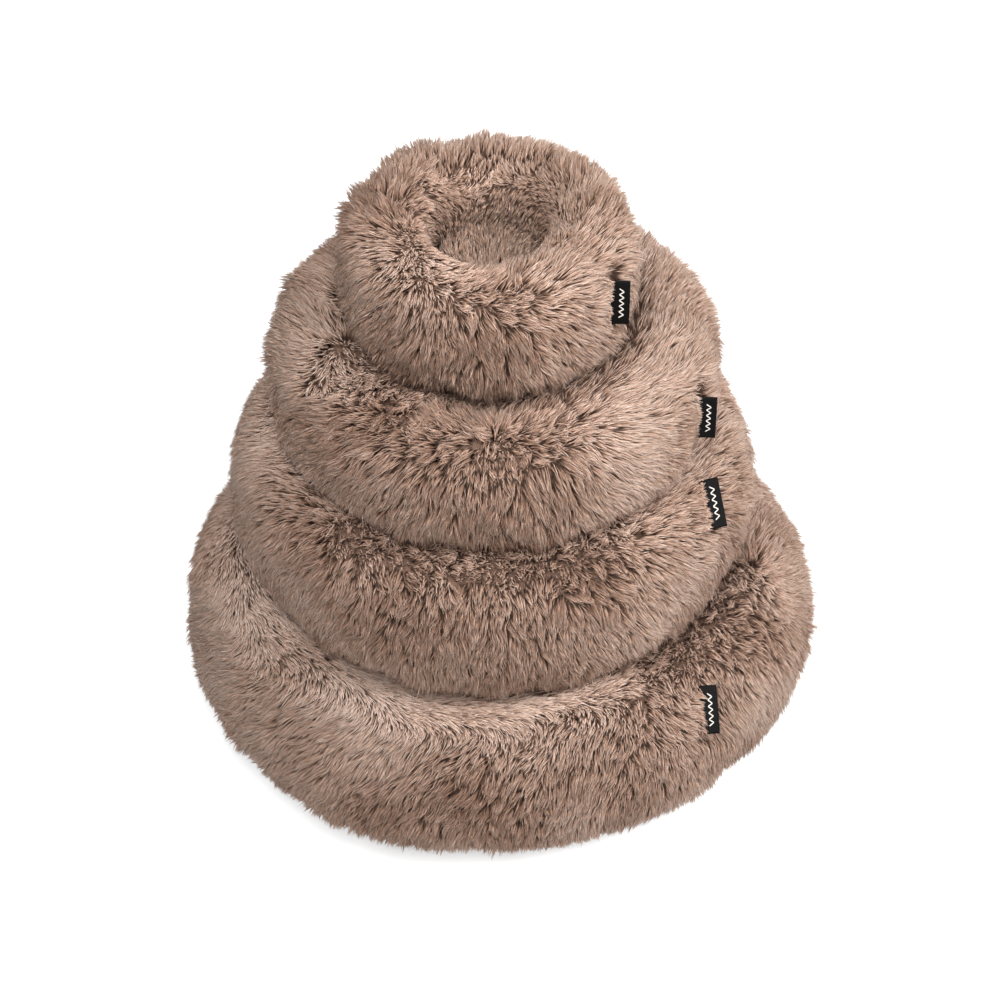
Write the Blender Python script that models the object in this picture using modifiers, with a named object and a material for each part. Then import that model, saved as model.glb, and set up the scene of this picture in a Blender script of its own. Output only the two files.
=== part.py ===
"""A stack of four round plush donut pet beds, the smallest on top, each made of its sewn and filled pieces.

Metres, +Z up. The origin is on the floor, under the middle of the largest bed. The front of the stack
faces -Y, and each bed's zip is at its back.
"""

import math
from dataclasses import dataclass

import bmesh
import bpy
from mathutils import Matrix, Vector
from mathutils.bvhtree import BVHTree

# The four beds: outside diameter, width and height of the stuffed ring, and height of the sleeping pad.
# A seam turn is the direction of the ring's closing seam, in degrees from the front towards +X.
# A fold draws the ring in, a bulge pushes its flank out and a slump lowers the outside of its crown: each has
# its direction in degrees, its depth as a share of the ring's width and its half spread in degrees.
EXTRA_LARGE_DIAMETER = 1.000
EXTRA_LARGE_RING_WIDTH = 0.306
EXTRA_LARGE_RING_HEIGHT = 0.280
EXTRA_LARGE_PAD_HEIGHT = 0.120
EXTRA_LARGE_SEAM_TURN = 40
EXTRA_LARGE_LABEL_HEIGHT_SHARE = 0.83
EXTRA_LARGE_CROWN_FULLNESS = 2.2
EXTRA_LARGE_FOLD_SHARES = ((-52, 0.02, 12), (18, 0.02, 14))
EXTRA_LARGE_BULGE_SHARES = ((-45, 0.055, 30), (58, 0.018, 20))
EXTRA_LARGE_SLUMP_SHARES = ((128, 0.085, 38), (-135, 0.04, 26))

LARGE_DIAMETER = 0.794
LARGE_RING_WIDTH = 0.266
LARGE_RING_HEIGHT = 0.277
LARGE_PAD_HEIGHT = 0.120
LARGE_SEAM_TURN = 59
LARGE_LABEL_HEIGHT_SHARE = 0.84
LARGE_CROWN_FULLNESS = 2.3
LARGE_FOLD_SHARES = ((-48, 0.04, 10),)
LARGE_BULGE_SHARES = ()
LARGE_SLUMP_SHARES = ((-135, 0.06, 26), (135, 0.04, 26))

MEDIUM_DIAMETER = 0.658
MEDIUM_RING_WIDTH = 0.206
MEDIUM_RING_HEIGHT = 0.195
MEDIUM_PAD_HEIGHT = 0.100
MEDIUM_SEAM_TURN = 63
MEDIUM_LABEL_HEIGHT_SHARE = 0.61
MEDIUM_CROWN_FULLNESS = 3.0
MEDIUM_FOLD_SHARES = ((-58, 0.04, 11),)
MEDIUM_BULGE_SHARES = ()
MEDIUM_SLUMP_SHARES = ()

SMALL_DIAMETER = 0.422
SMALL_RING_WIDTH = 0.138
SMALL_RING_HEIGHT = 0.192
SMALL_PAD_HEIGHT = 0.115
SMALL_SEAM_TURN = 53
SMALL_LABEL_HEIGHT_SHARE = 0.66
SMALL_CROWN_FULLNESS = 3.4
SMALL_FOLD_SHARES = ((-4, 0.06, 13), (-118, 0.015, 12))
SMALL_BULGE_SHARES = ()
SMALL_SLUMP_SHARES = ()

# How far each bed's base presses into the crown of the ring under it, and how far it sits off centre
LARGE_SINK = 0.019
MEDIUM_SINK = 0.025
SMALL_SINK = 0.014
LARGE_OFFSET = -0.013
MEDIUM_OFFSET = -0.011
SMALL_OFFSET = -0.016

# Cloth, pile and seams
PLUSH_WALL = 0.020
BASE_CLOTH = 0.003
BASE_HEM = 0.004
SEAM_GAP = 0.0003
FIBRE_SLACK = 0.008
PRESSED_PILE = 0.003
RING_SEAM_TUCK = 0.007
LUMP_DEPTH = 0.0025

# Zip in the back of each ring, low down, inside a slot that the pile hides
ZIP_HEIGHT = 0.050
ZIP_SLOT = 0.016
ZIP_DEPTH = 0.014
TAPE_THICKNESS = 0.0010
COIL_WIDTH = 0.0050
COIL_RISE = 0.0024
SLIDER_LENGTH = 0.013
SLIDER_WIDTH = 0.010
SLIDER_RISE = 0.0062
SLIDER_CLEARANCE = 0.0005
SLIDER_ROUNDING = 0.0012
ZIP_SWEEP = math.radians(90)
ZIP_END_STOP = 0.004

# Woven side label, folded double and sewn by one long edge into the ring's seam
LABEL_LENGTH = 0.072
LABEL_WIDTH = 0.028
LABEL_THICKNESS = 0.0016
LABEL_ROUNDING = 0.0005
LABEL_LEAN_SHARE = 0.15

# Cutters run past what they cut, and the seam of a turned shape is welded
OVERRUN = 0.030
WELD_DISTANCE = 0.00005

# Shape of the ring's section, as shares of its own width and height
WIDEST_HEIGHT_SHARE = 0.48
BASE_SEAM_SHARE = 0.32
INNER_DRAW_SHARE = 0.03
BULGE_FOOT_SHARE = 0.35
PRESS_REACH_SHARE = 1.25
CROWN_SHARES = (1.0, 0.90, 0.62, 0.31, 0.0)
LOWER_FULLNESS = 1.8

# Shape of the sleeping pad, as shares of its radius and height
PAD_SHOULDER_SHARE = 0.78
PAD_CROWN_SHARE = 0.80
PAD_CROWN_HEIGHT_SHARE = 0.97

# Counts of faces: columns round a ring, steps down the lower quarter of its section, columns along a zip
RING_COLUMNS = {"extra_large": 36, "large": 36, "medium": 36, "small": 32}
LOWER_STEPS = 3
ZIP_COLUMNS = 30
LABEL_SAMPLES = 12
SEATING_PASSES = 6

BACK = math.radians(90)
FRONT = math.radians(-90)
SHARP_ANGLE = math.radians(40)


@dataclass
class Bed:
    name: str
    diameter: float
    ring_width: float
    ring_height: float
    pad_height: float
    sink: float
    offset: float
    seam_turn: float
    label_height_share: float
    crown_fullness: float
    fold_shares: tuple
    bulge_shares: tuple
    slump_shares: tuple
    base_z: float = 0.0

    @property
    def radius(self):
        return self.diameter / 2

    @property
    def half_width(self):
        return self.ring_width / 2

    @property
    def core(self):
        """Distance from the bed's axis to the middle of its ring."""
        return self.radius - self.half_width

    @property
    def well(self):
        """Radius of the sleeping well."""
        return self.radius - self.ring_width

    @property
    def base_seam(self):
        """Radius of the seam where the ring's cover meets the base cloth."""
        return self.radius - self.ring_width * BASE_SEAM_SHARE

    @property
    def widest(self):
        return self.ring_height * WIDEST_HEIGHT_SHARE

    @property
    def floor(self):
        """Height, above the bed's underside, of what lies on the base cloth."""
        return BASE_CLOTH + SEAM_GAP

    @property
    def seam_angle(self):
        """Direction of the ring's closing seam, which also holds the label."""
        return FRONT + math.radians(self.seam_turn)

    @property
    def columns(self):
        return RING_COLUMNS[self.name]


BEDS = (
    Bed("extra_large", EXTRA_LARGE_DIAMETER, EXTRA_LARGE_RING_WIDTH, EXTRA_LARGE_RING_HEIGHT,
        EXTRA_LARGE_PAD_HEIGHT, 0.0, 0.0, EXTRA_LARGE_SEAM_TURN, EXTRA_LARGE_LABEL_HEIGHT_SHARE,
        EXTRA_LARGE_CROWN_FULLNESS, EXTRA_LARGE_FOLD_SHARES, EXTRA_LARGE_BULGE_SHARES,
        EXTRA_LARGE_SLUMP_SHARES),
    Bed("large", LARGE_DIAMETER, LARGE_RING_WIDTH, LARGE_RING_HEIGHT, LARGE_PAD_HEIGHT, LARGE_SINK,
        LARGE_OFFSET, LARGE_SEAM_TURN, LARGE_LABEL_HEIGHT_SHARE, LARGE_CROWN_FULLNESS,
        LARGE_FOLD_SHARES, LARGE_BULGE_SHARES, LARGE_SLUMP_SHARES),
    Bed("medium", MEDIUM_DIAMETER, MEDIUM_RING_WIDTH, MEDIUM_RING_HEIGHT, MEDIUM_PAD_HEIGHT, MEDIUM_SINK,
        MEDIUM_OFFSET, MEDIUM_SEAM_TURN, MEDIUM_LABEL_HEIGHT_SHARE, MEDIUM_CROWN_FULLNESS,
        MEDIUM_FOLD_SHARES, MEDIUM_BULGE_SHARES, MEDIUM_SLUMP_SHARES),
    Bed("small", SMALL_DIAMETER, SMALL_RING_WIDTH, SMALL_RING_HEIGHT, SMALL_PAD_HEIGHT, SMALL_SINK,
        SMALL_OFFSET, SMALL_SEAM_TURN, SMALL_LABEL_HEIGHT_SHARE, SMALL_CROWN_FULLNESS,
        SMALL_FOLD_SHARES, SMALL_BULGE_SHARES, SMALL_SLUMP_SHARES),
)


def clear_scene():
    for obj in list(bpy.data.objects):
        bpy.data.objects.remove(obj, do_unlink=True)


def new_collection(name):
    collection = bpy.data.collections.new(name)
    bpy.context.scene.collection.children.link(collection)
    return collection


def new_material(name, colour, roughness, metallic=0.0):
    material = bpy.data.materials.new(name)
    material.use_nodes = True
    shader = material.node_tree.nodes["Principled BSDF"]
    shader.inputs["Base Color"].default_value = (*colour, 1.0)
    shader.inputs["Roughness"].default_value = roughness
    shader.inputs["Metallic"].default_value = metallic
    return material


def add_piece(name, mesh, collection, material):
    piece = bpy.data.objects.new(name, mesh)
    mesh.materials.clear()
    mesh.materials.append(material)
    collection.objects.link(piece)
    return piece


def bake_modifiers(obj, name):
    """The object's mesh with its modifiers worked in. The object itself is removed."""
    graph = bpy.context.evaluated_depsgraph_get()
    mesh = bpy.data.meshes.new_from_object(obj.evaluated_get(graph))
    mesh.name = name
    bpy.data.objects.remove(obj, do_unlink=True)
    return mesh


def turned_mesh(name, profile, columns, turn, loop=False):
    """A profile of (radius, height) points turned about Z by a Screw modifier, from angle turn on."""
    wire = bpy.data.meshes.new(name + "_profile")
    last = len(profile)
    edges = [(i, (i + 1) % last) for i in range(last if loop else last - 1)]
    wire.from_pydata([(radius, 0.0, height) for radius, height in profile], edges, [])
    lathe = bpy.data.objects.new(name + "_lathe", wire)
    bpy.context.scene.collection.objects.link(lathe)
    screw = lathe.modifiers.new("Turn", "SCREW")
    screw.axis = "Z"
    screw.steps = columns
    screw.render_steps = columns
    screw.use_merge_vertices = True
    screw.merge_threshold = WELD_DISTANCE
    mesh = bake_modifiers(lathe, name)
    mesh.transform(Matrix.Rotation(turn, 4, "Z"))
    return mesh


def arc_bar(name, section, start, sweep, columns):
    """A closed bar: a section of (radius, height) points swept round Z from angle start."""
    bm = bmesh.new()
    corners = [bm.verts.new((radius, 0.0, height)) for radius, height in section]
    face = bm.faces.new(corners)
    bmesh.ops.spin(bm, geom=[face, *face.edges, *face.verts], cent=(0, 0, 0), axis=(0, 0, 1),
                   angle=sweep, steps=columns)
    bmesh.ops.holes_fill(bm, edges=bm.edges)
    bmesh.ops.recalc_face_normals(bm, faces=bm.faces)
    bmesh.ops.rotate(bm, verts=bm.verts, cent=(0, 0, 0), matrix=Matrix.Rotation(start, 3, "Z"))
    mesh = bpy.data.meshes.new(name)
    bm.to_mesh(mesh)
    bm.free()
    return mesh


def box_mesh(name, size):
    bm = bmesh.new()
    bmesh.ops.create_cube(bm, size=1.0, matrix=Matrix.Diagonal((*size, 1.0)))
    mesh = bpy.data.meshes.new(name)
    bm.to_mesh(mesh)
    bm.free()
    return mesh


def add_bevel(piece, width, segments):
    bevel = piece.modifiers.new("Rounded edges", "BEVEL")
    bevel.width = width
    bevel.segments = segments
    bevel.limit_method = "ANGLE"


def cut(piece, cutter):
    cutter.hide_render = True
    cutter.display_type = "WIRE"
    boolean = piece.modifiers.new("Cut " + cutter.name, "BOOLEAN")
    boolean.operation = "DIFFERENCE"
    boolean.solver = "EXACT"
    boolean.object = cutter


def smooth(piece):
    piece.data.shade_smooth()
    piece.data.set_sharp_from_angle(angle=SHARP_ANGLE)


def quarter(steps, fullness, wide, high):
    """A quarter of a superellipse from its widest point to its top."""
    points = []
    for i in range(steps + 1):
        angle = math.pi / 2 * i / steps
        points.append((wide * math.cos(angle) ** (2 / fullness), high * math.sin(angle) ** (2 / fullness)))
    return points


def half_crown(fullness, wide, high):
    """Points from the ring's widest height to the top of its crown, placed by shares of the half width."""
    return [(wide * share, high * (1 - share ** fullness) ** (1 / fullness)) for share in CROWN_SHARES]


def ring_section(bed, inset=0.0):
    """Points of the ring from the foot of its inner wall, over the crown and down to its base seam."""
    foot = bed.floor
    half = bed.half_width - inset
    rise = bed.ring_height - bed.widest - inset
    crown = half_crown(bed.crown_fullness, half, rise)
    seam = max(bed.base_seam - inset - bed.core, half / 4)
    lower = quarter(LOWER_STEPS, LOWER_FULLNESS, half - seam, bed.widest - foot - inset)
    drawn = bed.ring_width * INNER_DRAW_SHARE
    points = [(bed.core - half + drawn, foot)]
    points += [(bed.core - half + drawn / 4, (foot + bed.widest) / 2)]
    points += [(bed.core - wide, bed.widest + high) for wide, high in crown]
    points += [(bed.core + wide, bed.widest + high) for wide, high in reversed(crown[:-1])]
    points += [(bed.core + seam + wide, bed.widest - high) for wide, high in lower[1:]]
    if inset:
        points.append((bed.core + seam, foot))
    return points


def underside(bed, distance, spacing):
    """Height of the bed's underside this far from its axis, taken flat for one spacing past its base."""
    flat = bed.base_seam + BASE_HEM + spacing
    if distance <= flat:
        return bed.base_z
    if distance >= bed.radius:
        return math.inf
    wide = (distance - bed.base_seam) / (bed.radius - bed.base_seam)
    high = (1 - wide ** LOWER_FULLNESS) ** (1 / LOWER_FULLNESS)
    return bed.base_z + bed.floor + (bed.widest - bed.floor) * (1 - high)


def pressed_height(bed, height, x, y, upper, inset):
    """The height, held under the bed that lies on this place."""
    if upper is None:
        return height
    spacing = bed.half_width * CROWN_SHARES[-2] * PRESS_REACH_SHARE
    above = underside(upper, math.hypot(x - upper.offset, y), spacing)
    seat = upper.base_z - SEAM_GAP
    return min(height, max(seat, above - PRESSED_PILE) - inset)


def angle_between(a, b):
    return abs((a - b + math.pi) % (2 * math.pi) - math.pi)


def depth_at(bed, angle, shares):
    """Depth of the folds, bulges or slumps of this table at this direction."""
    depth = 0.0
    for turn, share, spread in shares:
        away = angle_between(angle, FRONT + math.radians(turn)) / math.radians(spread)
        depth += bed.ring_width * share * math.exp(-away * away)
    return depth


def dent_at(bed, angle):
    """How far the folds, the closing seam and the lumps of the filling draw the ring in at this direction."""
    depth = depth_at(bed, angle, bed.fold_shares)
    depth += LUMP_DEPTH * (math.sin(3 * angle + bed.columns) + math.sin(7 * angle)) / 2
    column = 2 * math.pi / bed.columns
    if angle_between(angle, bed.seam_angle) < column / 2:
        depth += RING_SEAM_TUCK
    return depth


def shape_ring(bed, mesh, upper, inset=0.0):
    """Shapes a turned ring by its folds, slumps and bulges, and presses its crown flat under the next bed."""
    reach = bed.half_width - inset
    for vertex in mesh.vertices:
        x, y, z = vertex.co
        radius = math.hypot(x, y)
        angle = math.atan2(y, x)
        outward = (radius - bed.core) / reach
        lift = max(0.0, (z - bed.widest) / (bed.ring_height - bed.widest))
        share = max(0.0, min(1.0, 0.5 + outward)) * min(1.0, max(0.0, z - bed.floor) / bed.widest)
        share = max(share, lift * max(0.0, 1 + outward))
        depth = dent_at(bed, angle) * min(1.0, share)
        outside = min(1.0, 2 * max(0.0, outward))
        depth += depth_at(bed, angle, bed.slump_shares) * outside * min(1.0, 2 * lift)
        toward = Vector((bed.core - radius, bed.widest - z))
        if toward.length > 0:
            toward = toward.normalized() * min(depth, toward.length)
        raised = min(1.0, max(0.0, z - bed.floor) / (bed.widest * BULGE_FOOT_SHARE))
        bulge = depth_at(bed, angle, bed.bulge_shares) * outside * raised
        radius += toward.x + bulge
        z += toward.y
        x = bed.offset + radius * math.cos(angle)
        y = radius * math.sin(angle)
        z = pressed_height(bed, bed.base_z + z, x, y, upper, inset)
        vertex.co = (x, y, z)


def place(mesh, bed):
    mesh.transform(Matrix.Translation((bed.offset, 0.0, bed.base_z)))
    return mesh


def add_ring(bed, upper, collection, cutters, materials):
    """The ring's plush cover, an arch of cloth open underneath, and the fibre that fills it."""
    name = bed.name + "_bolster_cover"
    mesh = turned_mesh(name, ring_section(bed), bed.columns, bed.seam_angle)
    shape_ring(bed, mesh, upper)
    cover = add_piece(name, mesh, collection, materials["plush"])
    wall = cover.modifiers.new("Pile and backing", "SOLIDIFY")
    wall.thickness = PLUSH_WALL
    wall.offset = -1.0
    cut(cover, add_zip_slot(bed, cutters, materials))
    smooth(cover)

    name = bed.name + "_bolster_filling"
    inset = PLUSH_WALL + FIBRE_SLACK
    mesh = turned_mesh(name, ring_section(bed, inset), bed.columns // 2, bed.seam_angle, loop=True)
    shape_ring(bed, mesh, upper, inset)
    filling = add_piece(name, mesh, collection, materials["fibre"])
    smooth(filling)
    return cover


def add_pad(bed, collection, materials):
    """The sleeping pad: a plush top, open underneath, over a flat fibre filling."""
    edge = bed.well - SEAM_GAP
    shoulder = bed.pad_height * PAD_SHOULDER_SHARE
    crown = bed.pad_height * PAD_CROWN_HEIGHT_SHARE
    profile = [(0.0, bed.pad_height), (edge * PAD_CROWN_SHARE, crown), (edge, shoulder), (edge, bed.floor)]
    mesh = turned_mesh(bed.name + "_pad_cover", profile, bed.columns, bed.seam_angle)
    cover = add_piece(bed.name + "_pad_cover", place(mesh, bed), collection, materials["plush"])
    wall = cover.modifiers.new("Pile and backing", "SOLIDIFY")
    wall.thickness = PLUSH_WALL
    wall.offset = -1.0
    smooth(cover)

    inset = PLUSH_WALL + FIBRE_SLACK
    inner = [(0.0, bed.pad_height - inset), (edge * PAD_CROWN_SHARE - inset, crown - inset),
             (edge - inset, shoulder - inset), (edge - inset, bed.floor), (0.0, bed.floor)]
    mesh = turned_mesh(bed.name + "_pad_filling", inner, bed.columns // 2, bed.seam_angle)
    filling = add_piece(bed.name + "_pad_filling", place(mesh, bed), collection, materials["fibre"])
    smooth(filling)


def add_base_cloth(bed, collection, materials):
    rim = bed.base_seam + BASE_HEM
    profile = [(0.0, BASE_CLOTH), (rim, BASE_CLOTH), (rim, 0.0), (0.0, 0.0)]
    mesh = turned_mesh(bed.name + "_base_cloth", profile, bed.columns, bed.seam_angle)
    smooth(add_piece(bed.name + "_base_cloth", place(mesh, bed), collection, materials["base"]))


def lower_radius(bed, height):
    """Outer radius of the ring at this height above its base, under its widest point."""
    high = (bed.widest - height) / (bed.widest - bed.floor)
    wide = (1 - high ** LOWER_FULLNESS) ** (1 / LOWER_FULLNESS)
    return bed.base_seam + (bed.radius - bed.base_seam) * wide


def tape_radius(bed):
    return lower_radius(bed, ZIP_HEIGHT) - ZIP_DEPTH


def add_zip_slot(bed, cutters, materials):
    """The cutter for the slot that holds the zip."""
    inner = tape_radius(bed) - OVERRUN
    outer = bed.radius + OVERRUN
    low = bed.base_z + ZIP_HEIGHT - ZIP_SLOT / 2
    high = low + ZIP_SLOT
    section = [(inner, low), (outer, low), (outer, high), (inner, high)]
    mesh = arc_bar(bed.name + "_zip_slot", section, BACK - ZIP_SWEEP / 2, ZIP_SWEEP, ZIP_COLUMNS)
    mesh.transform(Matrix.Translation((bed.offset, 0.0, 0.0)))
    return add_piece(bed.name + "_zip_slot", mesh, cutters, materials["plush"])


def add_zip(bed, collection, materials):
    """The zip's tape with its raised coil, closed from end to end of the slot."""
    inner = tape_radius(bed)
    face = inner + TAPE_THICKNESS
    middle = bed.base_z + ZIP_HEIGHT
    half_tape = ZIP_SLOT / 2 - SEAM_GAP
    half_coil = COIL_WIDTH / 2
    crest = face + COIL_RISE
    section = [(inner, -half_tape), (face, -half_tape), (face, -half_coil), (crest, -half_coil / 2),
               (crest, half_coil / 2), (face, half_coil), (face, half_tape), (inner, half_tape)]
    section = [(radius, middle + height) for radius, height in section]
    end_gap = SEAM_GAP / inner
    start = BACK - ZIP_SWEEP / 2 + end_gap
    mesh = arc_bar(bed.name + "_zip", section, start, ZIP_SWEEP - 2 * end_gap, ZIP_COLUMNS)
    mesh.transform(Matrix.Translation((bed.offset, 0.0, 0.0)))
    smooth(add_piece(bed.name + "_zip", mesh, collection, materials["coil"]))


def slider_end_turn(bed):
    """Angle from the end of the zip to the middle of its slider when it is pushed home."""
    return (ZIP_END_STOP + SLIDER_LENGTH / 2) / tape_radius(bed)


def add_zip_slider(bed, collection, cutters, materials):
    """The slider, parked at the closed end. It turns about the bed's axis as it runs along the coil."""
    name = bed.name + "_zip_slider"
    back = tape_radius(bed) + TAPE_THICKNESS + SLIDER_CLEARANCE
    angle = BACK - ZIP_SWEEP / 2 + slider_end_turn(bed)
    middle = Vector((back + SLIDER_RISE / 2, 0.0, bed.base_z + ZIP_HEIGHT))
    slider = add_piece(name, box_mesh(name, (SLIDER_RISE, SLIDER_LENGTH, SLIDER_WIDTH)), collection,
                       materials["slider"])
    add_bevel(slider, SLIDER_ROUNDING, 2)
    groove_depth = 2 * (COIL_RISE + SLIDER_CLEARANCE)
    groove_width = COIL_WIDTH + 2 * SLIDER_CLEARANCE
    groove = box_mesh(name + "_groove", (groove_depth, SLIDER_LENGTH + OVERRUN, groove_width))
    groove.transform(Matrix.Translation((-SLIDER_RISE / 2 - SLIDER_CLEARANCE, 0.0, 0.0)))
    cutter = add_piece(name + "_groove", groove, cutters, materials["slider"])
    cut(slider, cutter)
    slider.data.transform(Matrix.Translation(middle))
    groove.transform(Matrix.Translation(middle))
    for piece in (slider, cutter):
        piece.location = (bed.offset, 0.0, 0.0)
        piece.rotation_euler = (0.0, 0.0, angle)


def cover_surface(cover):
    graph = bpy.context.evaluated_depsgraph_get()
    return BVHTree.FromObject(cover, graph)


def surface_point(bed, surface, height):
    """Where a level line along the seam's direction meets the cover, and the cover's normal there."""
    outward = Vector((math.cos(bed.seam_angle), math.sin(bed.seam_angle), 0.0))
    start = Vector((bed.offset, 0.0, bed.base_z + height)) + outward * bed.diameter
    point, normal, _, _ = surface.ray_cast(start, -outward)
    return point, normal


def height_over(surface, point):
    """Signed distance of a point from the cover, positive outside it."""
    nearest, normal, _, _ = surface.find_nearest(point)
    return (point - nearest).dot(normal)


def add_label(bed, cover, collection, materials):
    """The label stands out of the seam by its sewn edge, with its face to the front."""
    surface = cover_surface(cover)
    height = bed.ring_height * bed.label_height_share
    point, normal = surface_point(bed, surface, height)
    upper_point, _ = surface_point(bed, surface, height + LABEL_LENGTH / 4)
    lean = upper_point - point
    along = Vector((lean.x * LABEL_LEAN_SHARE, lean.y, lean.z)).normalized()
    across = Vector((1.0, 0.0, 0.0))
    across = (across - along * across.dot(along)).normalized()
    face = across.cross(along)
    samples = []
    half = LABEL_THICKNESS / 2
    for i in range(LABEL_SAMPLES + 1):
        rise = along * LABEL_LENGTH * (i / LABEL_SAMPLES - 1 / 2)
        for reach in (0.0, LABEL_WIDTH / 4, LABEL_WIDTH / 2):
            samples += [point + rise + across * reach + face * side for side in (-half, half)]
    shift = Vector((0.0, 0.0, 0.0))
    for _ in range(SEATING_PASSES):
        shift += normal * (SEAM_GAP - min(height_over(surface, sample + shift) for sample in samples))
    seated = point + shift + across * (LABEL_WIDTH / 2)

    name = bed.name + "_side_label"
    mesh = box_mesh(name, (LABEL_WIDTH, LABEL_THICKNESS, LABEL_LENGTH))
    label = add_piece(name, mesh, collection, materials["label"])
    add_bevel(label, LABEL_ROUNDING, 1)
    frame = Matrix((across, face, along)).transposed().to_4x4()
    label.matrix_world = Matrix.Translation(seated) @ frame


def stack_heights():
    """Sets each bed on the crown of the one under it."""
    height = 0.0
    for bed in BEDS:
        bed.base_z = height - bed.sink
        height = bed.base_z + bed.ring_height


def main():
    clear_scene()
    beds = new_collection("donut_pet_beds")
    cutters = new_collection("cutters")
    materials = {
        "plush": new_material("long pile plush", (0.29, 0.20, 0.155), 0.95),
        "fibre": new_material("polyester fibre", (0.80, 0.80, 0.78), 0.9),
        "base": new_material("base cloth", (0.16, 0.11, 0.08), 0.7),
        "label": new_material("woven label", (0.006, 0.005, 0.005), 0.6),
        "coil": new_material("nylon zip", (0.20, 0.14, 0.10), 0.5),
        "slider": new_material("zinc slider", (0.45, 0.40, 0.35), 0.35, 1.0),
    }
    stack_heights()
    for bed, upper in zip(BEDS, (*BEDS[1:], None)):
        cover = add_ring(bed, upper, beds, cutters, materials)
        add_pad(bed, beds, materials)
        add_base_cloth(bed, beds, materials)
        add_zip(bed, beds, materials)
        add_zip_slider(bed, beds, cutters, materials)
        bpy.context.view_layer.update()
        add_label(bed, cover, beds, materials)


main()
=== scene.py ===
# %% [markdown]
# This lesson dresses a stack of four round plush beds for cats and dogs. The solids that come with it say
# where each piece is and how it moves. Here each bed gets what the eye sees: long faux fur, a woven label,
# a zip and a cloth base. Everything is in metres, in the same frame as the solids, and nothing is random
# from one run to the next, because each random draw has a seed.

# %% Load the solids and keep their box
import math

import bpy
import numpy as np
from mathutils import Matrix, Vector
from mathutils.bvhtree import BVHTree
from mathutils.kdtree import KDTree


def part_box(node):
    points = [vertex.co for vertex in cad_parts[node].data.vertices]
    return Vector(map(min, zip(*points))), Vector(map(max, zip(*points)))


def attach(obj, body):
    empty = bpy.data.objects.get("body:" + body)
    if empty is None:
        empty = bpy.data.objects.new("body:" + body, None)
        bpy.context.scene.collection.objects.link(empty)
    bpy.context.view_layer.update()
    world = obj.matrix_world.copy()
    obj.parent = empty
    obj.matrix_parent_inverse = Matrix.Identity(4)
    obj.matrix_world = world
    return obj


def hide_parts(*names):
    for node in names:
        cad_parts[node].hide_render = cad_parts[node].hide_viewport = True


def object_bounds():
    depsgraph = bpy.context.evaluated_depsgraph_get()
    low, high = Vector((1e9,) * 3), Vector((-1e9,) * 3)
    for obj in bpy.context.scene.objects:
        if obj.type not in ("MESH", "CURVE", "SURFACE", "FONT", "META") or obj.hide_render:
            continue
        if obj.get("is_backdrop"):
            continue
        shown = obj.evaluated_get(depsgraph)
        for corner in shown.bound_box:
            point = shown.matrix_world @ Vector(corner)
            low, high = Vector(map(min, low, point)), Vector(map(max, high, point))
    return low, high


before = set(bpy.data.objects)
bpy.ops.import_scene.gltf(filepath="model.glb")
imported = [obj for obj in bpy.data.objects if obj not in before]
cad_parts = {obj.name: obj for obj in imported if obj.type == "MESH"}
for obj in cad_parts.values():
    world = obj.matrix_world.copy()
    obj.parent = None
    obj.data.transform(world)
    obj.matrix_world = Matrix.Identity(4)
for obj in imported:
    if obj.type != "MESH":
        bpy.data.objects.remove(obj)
cad_low, cad_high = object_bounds()
MM = 0.001
print("solids span", [round(side / MM) for side in cad_high - cad_low], "mm")

# %% [markdown]
# Each bed is measured from its solids, so that nothing has to be fitted by hand. The base cloth is a flat
# disc, so the middle of its box is the axis of the bed. The pad fills the sleeping well, so its width is
# the width of the well. The line in the middle of the stuffed ring is called its core here.

# %% Measure the four beds
BED_NAMES = ("extra_large", "large", "medium", "small")


class Bed:
    """Places and sizes of one bed, read from its solids."""

    def __init__(self, name):
        cloth_low, cloth_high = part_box(name + "_base_cloth")
        pad_low, pad_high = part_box(name + "_pad_cover")
        ring_low, ring_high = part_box(name + "_bolster_cover")
        self.name = name
        self.body = name + "_bed"
        self.axis = np.array(((cloth_low.x + cloth_high.x) / 2, (cloth_low.y + cloth_high.y) / 2, 0.0))
        self.floor = cloth_low.z
        self.cloth = cloth_high.z - cloth_low.z
        self.base_radius = (cloth_high.x - cloth_low.x) / 2
        self.radius = (ring_high.x - ring_low.x) / 2
        self.well = (pad_high.x - pad_low.x) / 2
        self.core = (self.radius + self.well) / 2
        self.core_height = (ring_low.z + ring_high.z) / 2
        self.top = ring_high.z
        self.pad_top = pad_high.z
        self.above = None


beds = [Bed(name) for name in BED_NAMES]
for lower, upper in zip(beds, beds[1:]):
    lower.above = upper
for bed in beds:
    print(bed.name, "across", round(2 * bed.radius / MM), "well", round(2 * bed.well / MM), "mm")

# %% [markdown]
# The camera stands where the photographer's did: in front of the stack, looking down on it at about 45
# degrees through a short telephoto lens, so that the beds keep their proportions.

# %% Place the camera
CAMERA_ELEVATION = math.radians(44.8)
CAMERA_DISTANCE = 3.28
CAMERA_LENS_MM = 75.96
AIM = Vector((0.0, 0.0, 0.324))

camera_data = bpy.data.cameras.new("camera")
camera_data.lens = CAMERA_LENS_MM
camera = bpy.data.objects.new("camera", camera_data)
bpy.context.scene.collection.objects.link(camera)
towards = Vector((0.0, -math.cos(CAMERA_ELEVATION), math.sin(CAMERA_ELEVATION)))
camera.location = AIM + towards * CAMERA_DISTANCE
camera.rotation_euler = (-towards).to_track_quat("-Z", "Y").to_euler()
bpy.context.scene.camera = camera

# %% [markdown]
# Colours are picked as sRGB hex values, the way a paint program shows them, and a shader needs linear
# light. One function does that sum for every colour in the file. A second one adds a shader node with its
# settings and its links, so that a material reads as a short list of steps.

# %% Helpers for colours and shader nodes


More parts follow.
